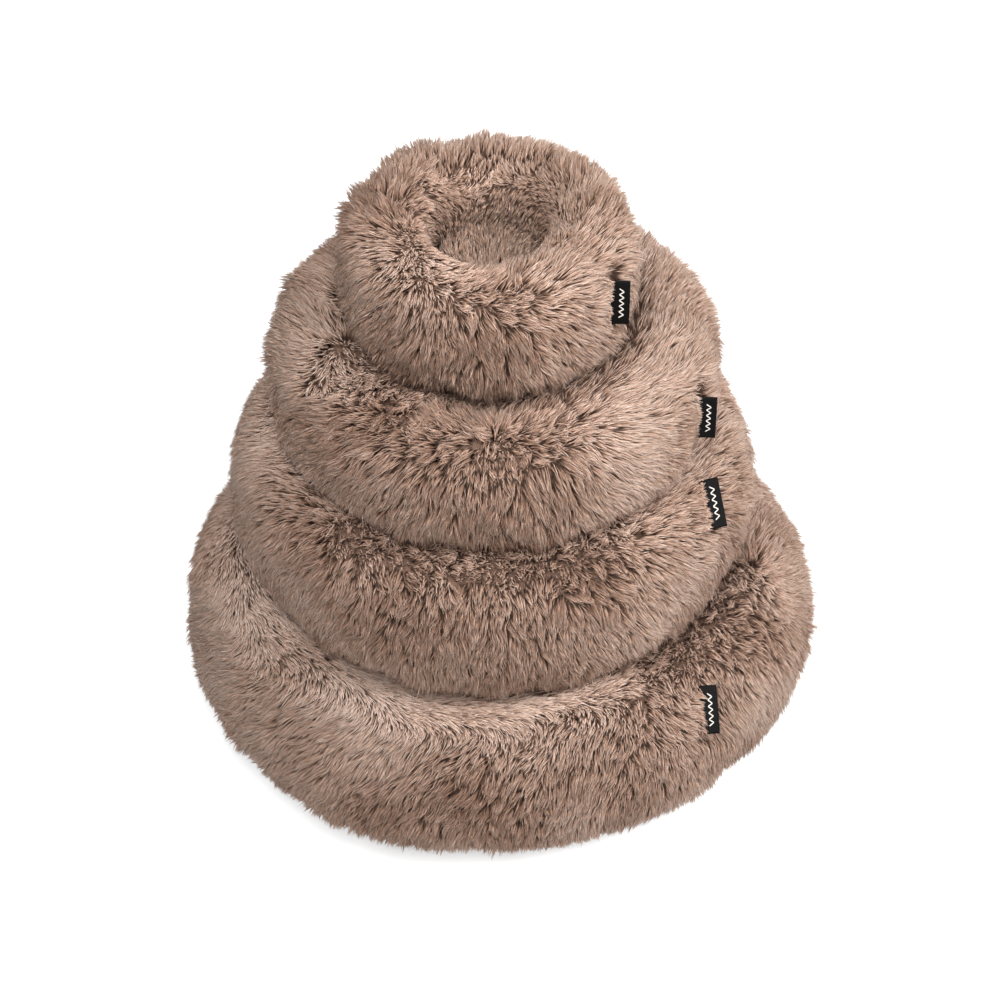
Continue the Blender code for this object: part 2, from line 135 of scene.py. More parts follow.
def colour(hex_value):
    """Linear RGBA of an sRGB hex colour."""
    parts = [int(hex_value[i:i + 2], 16) / 255 for i in (1, 3, 5)]
    linear = [part / 12.92 if part <= 0.04045 else ((part + 0.055) / 1.055) ** 2.4 for part in parts]
    return (*linear, 1.0)


def add_node(tree, kind, links=(), **settings):
    """Adds a node. A setting is a property or, with the prefix in_, a socket. A link is (socket, output)."""
    node = tree.nodes.new(kind)
    for key, value in settings.items():
        if key.startswith("in_"):
            socket = key[3:]
            node.inputs[int(socket) if socket.isdigit() else socket.replace("_", " ")].default_value = value
        else:
            setattr(node, key, value)
    for socket, output in links:
        tree.links.new(node.inputs[socket], output)
    return node


def set_ramp(node, stops):
    """Gives a colour ramp its stops, each a place from 0 to 1 and a hex colour."""
    ramp = node.color_ramp
    while len(ramp.elements) < len(stops):
        ramp.elements.new(1.0)
    for element, (place, value) in zip(ramp.elements, stops):
        element.position = place
        element.color = colour(value)


def new_material(name, **settings):
    """A material with a Principled shader whose sockets take the settings."""
    material = bpy.data.materials.new(name)
    material.use_nodes = True
    tree = material.node_tree
    shader = tree.nodes["Principled BSDF"]
    for key, value in settings.items():
        shader.inputs[key.replace("_", " ")].default_value = value
    return material, tree, shader


def mapped(tree, kind, **settings):
    """A texture node in object coordinates."""
    place = add_node(tree, "ShaderNodeTexCoord")
    return add_node(tree, kind, [("Vector", place.outputs["Object"])], **settings)


def dress(tree, shader, pattern, stops, bump=None):
    """Colours a shader by a pattern. A bump is a strength and a height, and follows the pattern too."""
    tone = add_node(tree, "ShaderNodeValToRGB", [(0, pattern)])
    set_ramp(tone, stops)
    tree.links.new(shader.inputs["Base Color"], tone.outputs[0])
    if bump:
        relief = add_node(tree, "ShaderNodeBump", [("Height", pattern)], in_Strength=bump[0],
                          in_Distance=bump[1])
        tree.links.new(shader.inputs["Normal"], relief.outputs[0])


# %% [markdown]
# Faux fur is acrylic or polyester fibre tufted into a knitted backing. The backing is dyed the same colour
# as the fibre, but here it is painted dark: painted shade for where it lies deep under the pile. Each fibre
# also carries painted shade along its length. It is darkest at its root, where little light reaches, and
# fades out by its bent tip. Each strand carries two numbers in its UV map: u is its own tone, because dye
# takes unevenly and locks age apart, and v runs from root to tip and places the painted shade. The colour
# needs nothing else.

# %% Make the fur's materials
FUR_TONES = ((0.0, "#a08371"), (0.3, "#cbb0a0"), (0.65, "#e8d1c3"), (1.0, "#fbebe1"))
# The tones are the fibre's own colours. The shades are painted shade along each strand, darkest at the root.
FUR_PAINTED_ROOT_SHADE = ((0.0, "#483a31"), (0.4, "#7c6a5e"), (0.72, "#cdbfb5"), (1.0, "#ffffff"))
FUR_UV = "OFBake"

fur, tree, shader = new_material("acrylic faux fur fibre", Roughness=0.7, Specular_IOR_Level=0.2,
                                 Sheen_Weight=0.12, Sheen_Tint=colour("#e8c8b4"))
uv = add_node(tree, "ShaderNodeUVMap", uv_map=FUR_UV)
split = add_node(tree, "ShaderNodeSeparateXYZ", [(0, uv.outputs[0])])
tone = add_node(tree, "ShaderNodeValToRGB", [(0, split.outputs["X"])])
painted_root_shade = add_node(tree, "ShaderNodeValToRGB", [(0, split.outputs["Y"])])
set_ramp(tone, FUR_TONES)
set_ramp(painted_root_shade, FUR_PAINTED_ROOT_SHADE)
# The tone is multiplied by the painted root shade.
mixed = add_node(tree, "ShaderNodeMix", data_type="RGBA", blend_type="MULTIPLY", in_0=1.0,
                 links=[(6, tone.outputs[0]), (7, painted_root_shade.outputs[0])])
tree.links.new(shader.inputs["Base Color"], mixed.outputs[2])

KNIT_PITCH = 3.0 * MM
backing, tree, shader = new_material("knitted polyester backing", Roughness=0.9)
knit = mapped(tree, "ShaderNodeTexVoronoi", in_Scale=1 / KNIT_PITCH)
# Painted shade: the backing is coloured darker than the fibre it is dyed like, for the shadow deep under the
# pile. The knit gives its pattern.
dress(tree, shader, knit.outputs["Distance"], ((0.0, "#86695a"), (1.0, "#5f483b")))

# %% [markdown]
# The solid of a ring is a shell with flat facets. To get a smooth surface with known directions on it, rays
# are cast from all round towards the ring's core. What they meet is a grid of points: its columns go round
# the bed, and its rows go over the ring from the foot of the well to the seam at the base. A few passes of
# averaging take the facets away. Averaging also shrinks a round shape a little, so what it took off is
# smoothed and put back. The solid has a slot for its zip, which would leave a ditch in the fur, so the
# surface is carried on across the slot from both sides, a little deeper than before.

# %% Cast a smooth grid over a ring
RING_GRID = (216, 72)
FACET_PASSES = 12
FAR = 0.5
SLOT_MARGIN = 3 * MM
SLOT_DEPTH = 4 * MM
SLOT_REACH = 13 * MM


def unit(vectors):
    return vectors / np.maximum(np.linalg.norm(vectors, axis=-1, keepdims=True), 1e-9)


def averaged(grid, passes):
    """Averages each grid point with its neighbours. Columns wrap round, and the first and last row stay."""
    for _ in range(passes):
        grid = (np.roll(grid, 1, axis=0) + 2 * grid + np.roll(grid, -1, axis=0)) / 4
        inner = (grid[:, :-2] + 2 * grid[:, 1:-1] + grid[:, 2:]) / 4
        grid = np.concatenate([grid[:, :1], inner, grid[:, -1:]], axis=1)
    return grid


def soften(grid, passes):
    smooth = averaged(grid, passes)
    return smooth + averaged(grid - smooth, passes)


def grid_normals(grid):
    """Outward normals of a grid whose columns run anticlockwise and whose rows run outwards and down."""
    along = np.roll(grid, -1, axis=0) - np.roll(grid, 1, axis=0)
    down = np.gradient(grid, axis=1)
    return unit(np.cross(down, along))


class Surface:
    """A grid of points round a bed, with its normals and the angles of its columns and rows."""

    def __init__(self, bed, points, turns, levels):
        self.bed = bed
        self.points = points
        self.normals = grid_normals(points)
        self.turns = turns
        self.levels = levels


def carry_over_slot(bed, points, turns, levels):
    """Fills the rows whose rays went into the zip's slot from the rows above and below them."""
    low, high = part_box(bed.name + "_zip")
    reach = high.y - bed.axis[1] - bed.core
    heights = bed.core_height + np.outer((reach - SLOT_DEPTH, reach + SLOT_REACH), np.tan(levels))
    crossed = (heights.min(axis=0) < high.z + SLOT_MARGIN) & (heights.max(axis=0) > low.z - SLOT_MARGIN)
    crossed &= np.cos(levels) > 0
    half_turn = math.atan2((high.x - low.x) / 2, low.y - bed.axis[1]) + 0.02
    rows = np.arange(len(levels))
    for i in np.flatnonzero(np.abs(turns - np.pi / 2) < half_turn):
        for k in range(3):
            points[i, :, k] = np.interp(rows, rows[~crossed], points[i, ~crossed, k])
        radial = np.array((math.cos(turns[i]), math.sin(turns[i]), 0.0))
        away = np.outer(np.cos(levels), radial) + np.outer(np.sin(levels), (0, 0, 1))
        points[i, crossed] -= SLOT_DEPTH * away[crossed]
    return points


def solid_tree(name):
    """The faces of a solid, for rays to be cast at."""
    return BVHTree.FromObject(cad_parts[name], bpy.context.evaluated_depsgraph_get())


def cast_ring(bed):
    """The ring's outer face. A level is the angle round the core: 0 outside, 90 on top, 180 in the well."""
    tree = solid_tree(bed.name + "_bolster_cover")
    rise = bed.core_height - bed.floor - 3 * bed.cloth
    inner = math.pi + math.atan2(rise, bed.core - bed.well - 3 * bed.cloth)
    outer = -math.atan2(rise, bed.base_radius - bed.core)
    columns, rows = RING_GRID
    turns = np.arange(columns) * 2 * np.pi / columns
    levels = np.linspace(inner, outer, rows)
    points = np.zeros((columns, rows, 3))
    for i, turn in enumerate(turns):
        radial = Vector((math.cos(turn), math.sin(turn), 0.0))
        core = Vector(bed.axis) + radial * bed.core + Vector((0.0, 0.0, bed.core_height))
        for j, level in enumerate(levels):
            away = radial * math.cos(level) + Vector((0.0, 0.0, math.sin(level)))
            reach = min(FAR, 0.95 * bed.core / max(-math.cos(level), 1e-6))
            hit = tree.ray_cast(core + away * reach, -away)[0]
            points[i, j] = hit if hit else points[i, j - 1]
    points = carry_over_slot(bed, points, turns, levels)
    return Surface(bed, soften(points, FACET_PASSES), turns, levels)


rings = {bed.name: cast_ring(bed) for bed in beds}
print("ring grids", [surface.points.shape[:2] for surface in rings.values()])

# %% [markdown]
# The pad's top is cast the same way, straight down, on circles round the bed's axis.

# %% Cast a smooth grid over a pad
PAD_GRID = (96, 20)
PAD_EDGE_SHARE = 0.985
PAD_PASSES = 4


def cast_pad(bed):
    """The top of the sleeping pad. A level is the share of its radius."""
    tree = solid_tree(bed.name + "_pad_cover")
    columns, rows = PAD_GRID
    turns = np.arange(columns) * 2 * np.pi / columns
    levels = np.linspace(0.02, PAD_EDGE_SHARE, rows)
    points = np.zeros((columns, rows, 3))
    for i, turn in enumerate(turns):
        for j, level in enumerate(levels):
            start = Vector(bed.axis) + Vector((math.cos(turn), math.sin(turn), 0.0)) * bed.well * level
            start.z = bed.pad_top + FAR
            hit = tree.ray_cast(start, Vector((0.0, 0.0, -1.0)))[0]
            points[i, j] = hit if hit else points[i, j - 1]
    return Surface(bed, soften(points, PAD_PASSES), turns, levels)


pads = {bed.name: cast_pad(bed) for bed in beds}

# %% [markdown]
# Nothing sewn and stuffed by hand is even. Smooth noise moves the surface, turns the pile and changes its
# tone. It is a sum of plane waves with seeded directions, which is quick for a million points at once and
# has no seam anywhere.

# %% Smooth noise


def waves(points, size, seed, count=16):
    """Smooth noise of about unit strength, with lumps about half of size across."""
    draws = np.random.default_rng(seed)
    directions = unit(draws.normal(size=(count, 3))) * 2 * np.pi / size
    directions *= draws.uniform(0.7, 1.4, (count, 1))
    phases = draws.uniform(0, 2 * np.pi, count)
    return np.sin(points @ directions.T + phases).sum(axis=-1) * math.sqrt(2 / count)


# %% [markdown]
# The outer face of the solid is where the fur's surface looks to be, so the backing that the fur grows from
# lies about as deep under it as the bent pile is high. The backing is a thin sheet of its own, and the bag
# of loose fibre that fills it lies inside, with the soft wrinkles of a bag that is packed full.

# %% Sew the backing and the fibre bag of each ring and pad
PILE_HEIGHT = 17 * MM
PAD_DEPTH = 8 * MM
BACKING_THICKNESS = 1.5 * MM
LUMP_HEIGHT = 1.6 * MM
LUMP_SIZE = 150 * MM
BAG_GAP = 7 * MM
BAG_PASSES = 80
WRINKLE_HEIGHT = 1.4 * MM
WRINKLE_SIZE = 60 * MM

fibre, tree, shader = new_material("polyester fibre in a non-woven bag", Roughness=0.85, Sheen_Weight=0.4)
fluff = mapped(tree, "ShaderNodeTexNoise", in_Scale=120.0, in_Detail=6.0)
dress(tree, shader, fluff.outputs[0], ((0.3, "#d9d8d4"), (0.7, "#f2f1ee")), (0.3, 0.001))


def sunk(surface, depth, height, size, seed):
    """The surface moved inwards by a depth, with lumps of this height and size."""
    lumps = height * waves(surface.points, size, seed)
    return surface.points + surface.normals * (lumps - depth)[..., None]


def poly_mesh(name, points, faces):
    """A mesh from an array of points and a list of faces."""
    mesh = bpy.data.meshes.new(name)
    mesh.from_pydata(np.reshape(points, (-1, 3)).tolist(), [], faces)
    mesh.update()
    return mesh


def grid_mesh(name, grid, closed=False):
    """A mesh of quads over a grid whose columns wrap round, and whose rows do so too if it is closed."""
    columns, rows = grid.shape[:2]
    row = np.arange(rows if closed else rows - 1)[None, :]
    near = np.arange(columns)[:, None] * rows
    far = (near + rows) % (columns * rows)
    below = (row + 1) % rows
    quads = np.stack([near + row, near + below, far + below, far + row], axis=-1).reshape(-1, 4)
    mesh = poly_mesh(name, grid, quads.tolist())
    mesh.shade_smooth()
    return mesh


def add_piece(name, mesh, material, body):
    """Links a mesh as a piece that rides on a body, with the material it is given."""
    piece = bpy.data.objects.new(name, mesh)
    bpy.context.scene.collection.objects.link(piece)
    mesh.materials.clear()
    mesh.materials.append(material)
    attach(piece, body)
    return piece


def ring_row(bed, radius, height, columns):
    """One row of grid points on a level circle round the bed's axis."""
    turns = np.arange(columns) * 2 * np.pi / columns
    row = np.stack([radius * np.cos(turns), radius * np.sin(turns), np.full(columns, height)], axis=-1)
    return (row + bed.axis)[:, None]


skins = {}
pad_skins = {}
for number, bed in enumerate(beds):
    cloth_top = bed.floor + bed.cloth + BACKING_THICKNESS
    columns = RING_GRID[0]
    skin = sunk(rings[bed.name], PILE_HEIGHT, LUMP_HEIGHT, LUMP_SIZE, number)
    skins[bed.name] = skin
    inner = ring_row(bed, bed.well + PILE_HEIGHT, cloth_top, columns)
    outer = ring_row(bed, bed.base_radius - PILE_HEIGHT / 2, cloth_top, columns)
    mesh = grid_mesh(bed.name + "_ring_backing", np.concatenate([inner, skin, outer], axis=1))
    piece = add_piece(bed.name + "_ring_backing", mesh, backing, bed.body)
    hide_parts(bed.name + "_bolster_cover")
    wall = piece.modifiers.new("Knitted sheet", "SOLIDIFY")
    wall.thickness = BACKING_THICKNESS
    wall.offset = -1.0

    ring = rings[bed.name]
    loose = Surface(bed, averaged(ring.points, BAG_PASSES), ring.turns, ring.levels)
    bag = sunk(loose, PILE_HEIGHT + BAG_GAP, WRINKLE_HEIGHT, WRINKLE_SIZE, number + 20)
    gap = ((skin - bag) * loose.normals).sum(axis=-1)
    bag = bag - loose.normals * np.maximum(BAG_GAP - gap, 0)[..., None]
    bag[..., 2] = np.maximum(bag[..., 2], cloth_top + BACKING_THICKNESS)
    piece = add_piece(bed.name + "_ring_fibre_bag", grid_mesh(bed.name + "_ring_fibre_bag", bag, closed=True),
                      fibre, bed.body)
    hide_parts(bed.name + "_bolster_filling")

    pad_skin = sunk(pads[bed.name], PAD_DEPTH, LUMP_HEIGHT, LUMP_SIZE, number + 4)
    pad_skins[bed.name] = pad_skin
    edge = ring_row(bed, bed.well - PILE_HEIGHT / 2, cloth_top, PAD_GRID[0])
    crown = pad_skin[:, :1].mean(axis=0, keepdims=True).repeat(PAD_GRID[0], axis=0)
    mesh = grid_mesh(bed.name + "_pad_backing", np.concatenate([crown, pad_skin, edge], axis=1))
    piece = add_piece(bed.name + "_pad_backing", mesh, backing, bed.body)
    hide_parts(bed.name + "_pad_cover")

    bag = sunk(pads[bed.name], PAD_DEPTH + BAG_GAP, WRINKLE_HEIGHT, WRINKLE_SIZE, number + 24)
    bag[:, -1] += (bed.axis - bag[:, -1]) * np.array((0.06, 0.06, 0.0))
    foot = bag[:, -1:].copy()
    foot[..., 2] = cloth_top + BACKING_THICKNESS
    crown = bag[:, :1].mean(axis=0, keepdims=True).repeat(PAD_GRID[0], axis=0)
    middle = np.broadcast_to(bed.axis + np.array((0.0, 0.0, foot[0, 0, 2])), crown.shape)
    mesh = grid_mesh(bed.name + "_pad_fibre_bag", np.concatenate([crown, bag, foot, middle], axis=1))
    piece = add_piece(bed.name + "_pad_fibre_bag", mesh, fibre, bed.body)
    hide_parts(bed.name + "_pad_filling")
print("backings and fibre bags", 4 * len(beds))

# %% [markdown]
# Under each bed is a round of plain-woven polyester with its edge turned in, sewn to the ring's cover. Such
# cloths carry rubber dots, so that the bed doesn't slide on a smooth floor. The cloth is a turned profile
# with a rounded hem, and the dots are low domes on a triangular grid. The dots are what stands on the floor.

# %% Sew the base cloths
DOT_PITCH = 26 * MM
DOT_RADIUS = 3.2 * MM
DOT_HEIGHT = 0.7 * MM
DOT_SIDES = 8
HEM_WIDTH = 8 * MM
CLOTH_COLUMNS = 96
WEAVE_PITCH = 1.6 * MM

base_cloth, tree, shader = new_material("plain-woven polyester base cloth", Roughness=0.9,
                                        Specular_IOR_Level=0.06)
threads = [mapped(tree, "ShaderNodeTexWave", in_Scale=0.5 / WEAVE_PITCH, bands_direction=axis)
           for axis in ("X", "Y")]
weave = add_node(tree, "ShaderNodeMath", operation="MULTIPLY",
                 links=[(0, threads[0].outputs[1]), (1, threads[1].outputs[1])])
dress(tree, shader, weave.outputs[0], ((0.0, "#5f4c40"), (1.0, "#8a7262")), (0.4, 0.0004))

rubber, tree, shader = new_material("moulded rubber dot", Roughness=0.7, Specular_IOR_Level=0.2)
dust = mapped(tree, "ShaderNodeTexNoise", in_Scale=90.0)
dress(tree, shader, dust.outputs[0], ((0.35, "#2c2724"), (0.75, "#453d38")))


def dot_places(radius):
    """Places of the dots, as an array of (x, y), on a triangular grid inside a circle."""
    steps = int(radius / DOT_PITCH) + 2
    across = np.arange(-steps, steps + 1) * DOT_PITCH
    rows = np.arange(-steps, steps + 1)
    x, y = np.meshgrid(across, rows * DOT_PITCH * math.sqrt(3) / 2)
    x = x + (np.arange(len(rows)) % 2)[:, None] * DOT_PITCH / 2
    grid = np.stack([x.ravel(), y.ravel()], axis=-1)
    return grid[np.linalg.norm(grid, axis=1) < radius]


def copies_mesh(name, shape, faces, frames):
    """One mesh of many copies of a small shape. A frame holds its origin and three axes, as rows."""
    points = np.einsum("pk,nkd->npd", shape, frames[:, 1:]) + frames[:, :1]
    corners = [[k + n * len(shape) for k in face] for n in range(len(frames)) for face in faces]
    return poly_mesh(name, points, corners)


turns = np.arange(DOT_SIDES) * 2 * np.pi / DOT_SIDES
circle = np.stack([np.cos(turns), np.sin(turns), np.zeros(DOT_SIDES)], axis=-1)
dot_shape = np.concatenate([circle * DOT_RADIUS, circle * DOT_RADIUS * 0.7 - (0, 0, DOT_HEIGHT)])
dot_faces = [(k, DOT_SIDES + k, DOT_SIDES + (k + 1) % DOT_SIDES, (k + 1) % DOT_SIDES)
             for k in range(DOT_SIDES)]
dot_faces += [tuple(range(2 * DOT_SIDES - 1, DOT_SIDES - 1, -1)), tuple(range(DOT_SIDES))]
for bed in beds:
    low = bed.floor + DOT_HEIGHT
    high = bed.floor + bed.cloth
    rim = bed.base_radius - bed.cloth / 2
    seam = rim - HEM_WIDTH
    profile = [(0.0, low + 0.4 * MM), (seam - 1 * MM, low + 0.4 * MM), (seam, low + 0.9 * MM),
               (seam + 1 * MM, low), (rim - 1 * MM, low), (rim, (low + high) / 2), (rim - 1 * MM, high),
               (0.0, high)]
    rows = [ring_row(bed, radius, height, CLOTH_COLUMNS) for radius, height in reversed(profile)]
    mesh = grid_mesh(bed.name + "_hemmed_base_cloth", np.concatenate(rows, axis=1))
    piece = add_piece(bed.name + "_hemmed_base_cloth", mesh, base_cloth, bed.body)
    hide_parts(bed.name + "_base_cloth")
    spots = dot_places(seam - 2 * DOT_RADIUS)
    frames = np.zeros((len(spots), 4, 3))
    frames[:, 1:] = np.eye(3)
    frames[:, 0, :2] = spots
    frames[:, 0] += bed.axis + (0, 0, low + 0.3 * MM)
    mesh = copies_mesh(bed.name + "_rubber_dots", dot_shape, dot_faces, frames)
    points = np.array([vertex.co for vertex in mesh.vertices])
    points[:, 2] = np.maximum(points[:, 2], bed.floor)
    mesh.vertices.foreach_set("co", points.astype(np.float32).ravel())
    add_piece(bed.name + "_rubber_dots", mesh, rubber, bed.body)
    print(bed.name, "base cloth with", len(spots), "dots")

# %% [markdown]
# The bag of fibre comes out through a zip at the back, low in the ring. A closed zip is two woven tapes, each
# with a row of nylon loops along one edge, and the loops of one row lie between those of the other. A row of
# stitches holds each tape, and a stop at each end holds the slider. The zip is made of flat shapes with
# distances along it, across it and out of it. Each shape is then put in its place round the bed's axis.

# %% Sew in the zips
TAPE_GAP = 0.2 * MM
TAPE_BACK = 0.1 * MM
TAPE_FACE = 1.0 * MM
TAPE_BEVEL = 0.3 * MM
TAPE_STEPS = 121
TAPE_RIB = 1.0 * MM
LOOP_PITCH = 1.6 * MM
LOOP_THICKNESS = 0.7 * MM
LOOP_LINE = ((2.4, 1.0), (1.9, 2.1), (0.6, 2.6), (-0.5, 2.3), (-0.8, 1.4))
STOP_FROM_END = 2.1 * MM
STOP_LENGTH = 3.0 * MM
STOP_LINE = ((3.0, 1.0), (2.5, 2.5), (0.8, 2.9), (-0.8, 2.9), (-2.5, 2.5), (-3.0, 1.0))
STITCH_PITCH = 3.2 * MM
STITCH_ROW = 5.9 * MM
STITCH_LINE = ((-1.1, 0.9), (-0.6, 1.2), (0.6, 1.2), (1.1, 0.9))
STITCH_THICKNESS = 0.45 * MM

nylon, tree, shader = new_material("moulded nylon coil", Roughness=0.38)
cloud = mapped(tree, "ShaderNodeTexNoise", in_Scale=400.0)
dress(tree, shader, cloud.outputs[0], ((0.3, "#5c483c"), (0.7, "#7a6353")))

tape_cloth, tree, shader = new_material("woven polyester zip tape", Roughness=0.8, Sheen_Weight=0.2)
warp = mapped(tree, "ShaderNodeTexWave", in_Scale=0.5 / TAPE_RIB, bands_direction="Z", in_Distortion=1.5,
              in_Detail_Scale=4.0)
dress(tree, shader, warp.outputs[1], ((0.0, "#4d3b31"), (1.0, "#715a4b")), (0.4, 0.0003))


def node_points(name):
    return np.array([vertex.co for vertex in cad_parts[name].data.vertices])


class Zip:
    """The frame of a zip: the radius of its back, the turn of its middle, its length, height and width."""

    def __init__(self, bed):
        points = node_points(bed.name + "_zip") - bed.axis
        reach = np.linalg.norm(points[:, :2], axis=1)
        turns = np.arctan2(points[:, 1], points[:, 0])
        self.axis = bed.axis
        self.radius = reach.min()
        self.middle = (turns.max() + turns.min()) / 2
        self.length = (turns.max() - turns.min()) * self.radius
        self.height = (points[:, 2].max() + points[:, 2].min()) / 2
        self.width = np.ptp(points[:, 2])

    def frames(self, along, across=0.0):
        """Frames of small stiff things on the zip: their origins and the directions along, across and out."""
        turn = self.middle + along / self.radius
        out = np.stack([np.cos(turn), np.sin(turn), 0 * turn], axis=-1)
        up = np.broadcast_to((0.0, 0.0, 1.0), out.shape)
        origin = self.axis + out * self.radius + up * (self.height + across)
        return np.stack([origin, np.cross(up, out), up, out], axis=1)

    def around(self, points):
        """How far points are along and across from the zip's middle, and out from its back."""
        away = points - self.axis
        along = (np.arctan2(away[..., 1], away[..., 0]) - self.middle) * self.radius
        return along, away[..., 2] - self.height, np.linalg.norm(away[..., :2], axis=-1) - self.radius


def lofted(sections):
    """Points and faces of a closed solid through sections that have the same number of corners."""
    count, corners = sections.shape[:2]
    faces = [(s * corners + c, s * corners + (c + 1) % corners, (s + 1) * corners + (c + 1) % corners,
              (s + 1) * corners + c) for s in range(count - 1) for c in range(corners)]
    faces += [tuple(range(corners))[::-1], tuple(range((count - 1) * corners, count * corners))]
    return sections.reshape(-1, 3), faces


def bent_bar(line, length, thickness, lengthwise=False):
    """A bar whose middle line is given as (across, out) or, if it is lengthwise, as (along, out), in mm."""
    sections = []
    for run, out in line:
        section = []
        for side, rise in ((-0.5, -0.5), (0.5, -0.5), (0.35, 0.5), (-0.35, 0.5)):
            flat = (run * MM, side * length) if lengthwise else (side * length, run * MM)
            section.append((*flat, out * MM + rise * thickness))
        sections.append(section)
    return lofted(np.array(sections))


def tape_shape(zipper):
    """The two tapes side by side, bent round the axis: points and faces."""
    along = np.linspace(-zipper.length / 2, zipper.length / 2, TAPE_STEPS)
    frames = zipper.frames(along)
    points, faces = [], []
    half = zipper.width / 2
    for side in (-1, 1):
        profile = [(TAPE_GAP, TAPE_BACK), (half, TAPE_BACK), (half, TAPE_FACE - TAPE_BEVEL),
                   (half - TAPE_BEVEL, TAPE_FACE), (TAPE_GAP, TAPE_FACE)]
        across, out = np.array(profile).T
        sections = (frames[:, None, 0] + frames[:, None, 2] * (side * across)[:, None]
                    + frames[:, None, 3] * out[:, None])
        part, part_faces = lofted(sections[:, ::side])
        faces += [[corner + len(points) * len(part) for corner in face] for face in part_faces]
        points.append(part)
    return np.concatenate(points), faces


zips = {bed.name: Zip(bed) for bed in beds}
for bed in beds:
    zipper = zips[bed.name]
    points, faces = tape_shape(zipper)
    mesh = poly_mesh(bed.name + "_zip_tapes", points, faces)
    piece = add_piece(bed.name + "_zip_tapes", mesh, tape_cloth, bed.body)
    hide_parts(bed.name + "_zip")

    stop = zipper.length / 2 - STOP_FROM_END
    pairs = int((2 * stop - STOP_LENGTH) / LOOP_PITCH)
    row = (np.arange(pairs) - (pairs - 1) / 2) * LOOP_PITCH
    low_row = zipper.frames(row - LOOP_PITCH / 4)
    high_row = zipper.frames(row + LOOP_PITCH / 4)
    high_row[:, 1:3] *= -1
    shape, faces = bent_bar(LOOP_LINE, LOOP_THICKNESS, LOOP_THICKNESS)
    mesh = copies_mesh(bed.name + "_zip_coil", shape, faces, np.concatenate([low_row, high_row]))
    add_piece(bed.name + "_zip_coil", mesh, nylon, bed.body)

    shape, faces = bent_bar(STOP_LINE, STOP_LENGTH, 2 * LOOP_THICKNESS)
    mesh = copies_mesh(bed.name + "_zip_end_stops", shape, faces, zipper.frames(np.array((-stop, stop))))
    add_piece(bed.name + "_zip_end_stops", mesh, nylon, bed.body)

    count = int(zipper.length / STITCH_PITCH) - 1
    row = (np.arange(count) - (count - 1) / 2) * STITCH_PITCH
    frames = np.concatenate([zipper.frames(row, STITCH_ROW), zipper.frames(row, -STITCH_ROW)])
    shape, faces = bent_bar(STITCH_LINE, STITCH_THICKNESS, STITCH_THICKNESS, lengthwise=True)
    mesh = copies_mesh(bed.name + "_zip_stitches", shape, faces, frames)
    add_piece(bed.name + "_zip_stitches", mesh, nylon, bed.body)
    print(bed.name, "zip", round(zipper.length / MM), "mm with", 2 * pairs, "loops")

# %% [markdown]
# The slider is a zinc casting: a plate like a shield, wide at the end where the rows part, with a flange down
# each side that holds the loops together, and a small bridge on top. There is no pull on the bridge, because
# a pet would catch a claw in it. The whole casting rides on the body of the slider.

# %% Cast the zip sliders
SLIDER_STATIONS = ((-6.4, 3.7), (-5.8, 4.1), (-3.0, 4.2), (0.0, 4.5), (3.0, 4.9), (5.6, 4.9), (6.4, 4.3))
SLIDER_GROOVE = 3.1
SLIDER_LOW = 1.6
SLIDER_ROOF = 3.9
SLIDER_TOP = 5.3
BRIDGE_LINE = ((-4.2, 5.1), (-3.5, 6.5), (-1.6, 7.1), (1.6, 7.1), (3.4, 6.5), (4.0, 5.1))
BRIDGE_WIDTH = 2.2 * MM
BRIDGE_THICKNESS = 0.9 * MM
SLIDER_BEVEL = 0.25 * MM

zinc, tree, shader = new_material("tumbled zinc casting", Metallic=1.0)
wear = mapped(tree, "ShaderNodeTexNoise", in_Scale=600.0, in_Detail=4.0)
dress(tree, shader, wear.outputs[0], ((0.3, "#6f675f"), (0.7, "#a39a90")))
wear_rough = add_node(tree, "ShaderNodeMapRange", in_3=0.3, in_4=0.5, links=[(0, wear.outputs[0])])
tree.links.new(shader.inputs["Roughness"], wear_rough.outputs[0])


def slider_shape():
    """The plate with its flanges and the bridge, flat: points and faces."""
    sections = []
    for along, half in SLIDER_STATIONS:
        section = [(half, SLIDER_LOW), (half, SLIDER_TOP - 0.5), (half - 0.5, SLIDER_TOP),
                   (0.5 - half, SLIDER_TOP), (-half, SLIDER_TOP - 0.5), (-half, SLIDER_LOW),
                   (-SLIDER_GROOVE, SLIDER_LOW), (-SLIDER_GROOVE, SLIDER_ROOF),
                   (SLIDER_GROOVE, SLIDER_ROOF), (SLIDER_GROOVE, SLIDER_LOW)]
        sections.append([(along * MM, across * MM, out * MM) for across, out in section])
    points, faces = lofted(np.array(sections))
    bridge, bridge_faces = bent_bar(BRIDGE_LINE, BRIDGE_WIDTH, BRIDGE_THICKNESS, lengthwise=True)
    faces += [tuple(corner + len(points) for corner in face) for face in bridge_faces]
    return np.concatenate([points, bridge]), faces


for bed in beds:
    points = node_points(bed.name + "_zip_slider") - bed.axis
    turns = np.arctan2(points[:, 1], points[:, 0])
    zipper = zips[bed.name]
    parked = ((turns.max() + turns.min()) / 2 - zipper.middle) * zipper.radius
    shape, faces = slider_shape()
    mesh = copies_mesh(bed.name + "_cast_slider", shape, faces, zipper.frames(np.array((parked,))))
    piece = add_piece(bed.name + "_cast_slider", mesh, zinc, bed.name + "_zip_slider")
    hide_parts(bed.name + "_zip_slider")
    edge = piece.modifiers.new("Edge", "BEVEL")
    edge.width = SLIDER_BEVEL
    edge.segments = 2
print("zip sliders", len(beds))

# %% [markdown]
# The label is a strip of black satin ribbon, folded double across and caught by its cut edges in the ring's
# closing seam. Its solid gives the place and the lean. The ribbon is a grid that runs from the seam to the
# fold and back, given its thickness by a modifier. It starts deep in the pile and its free side curls a
# little, as ribbon does. The label is plain but for a zigzag woven down its middle in off-white thread.

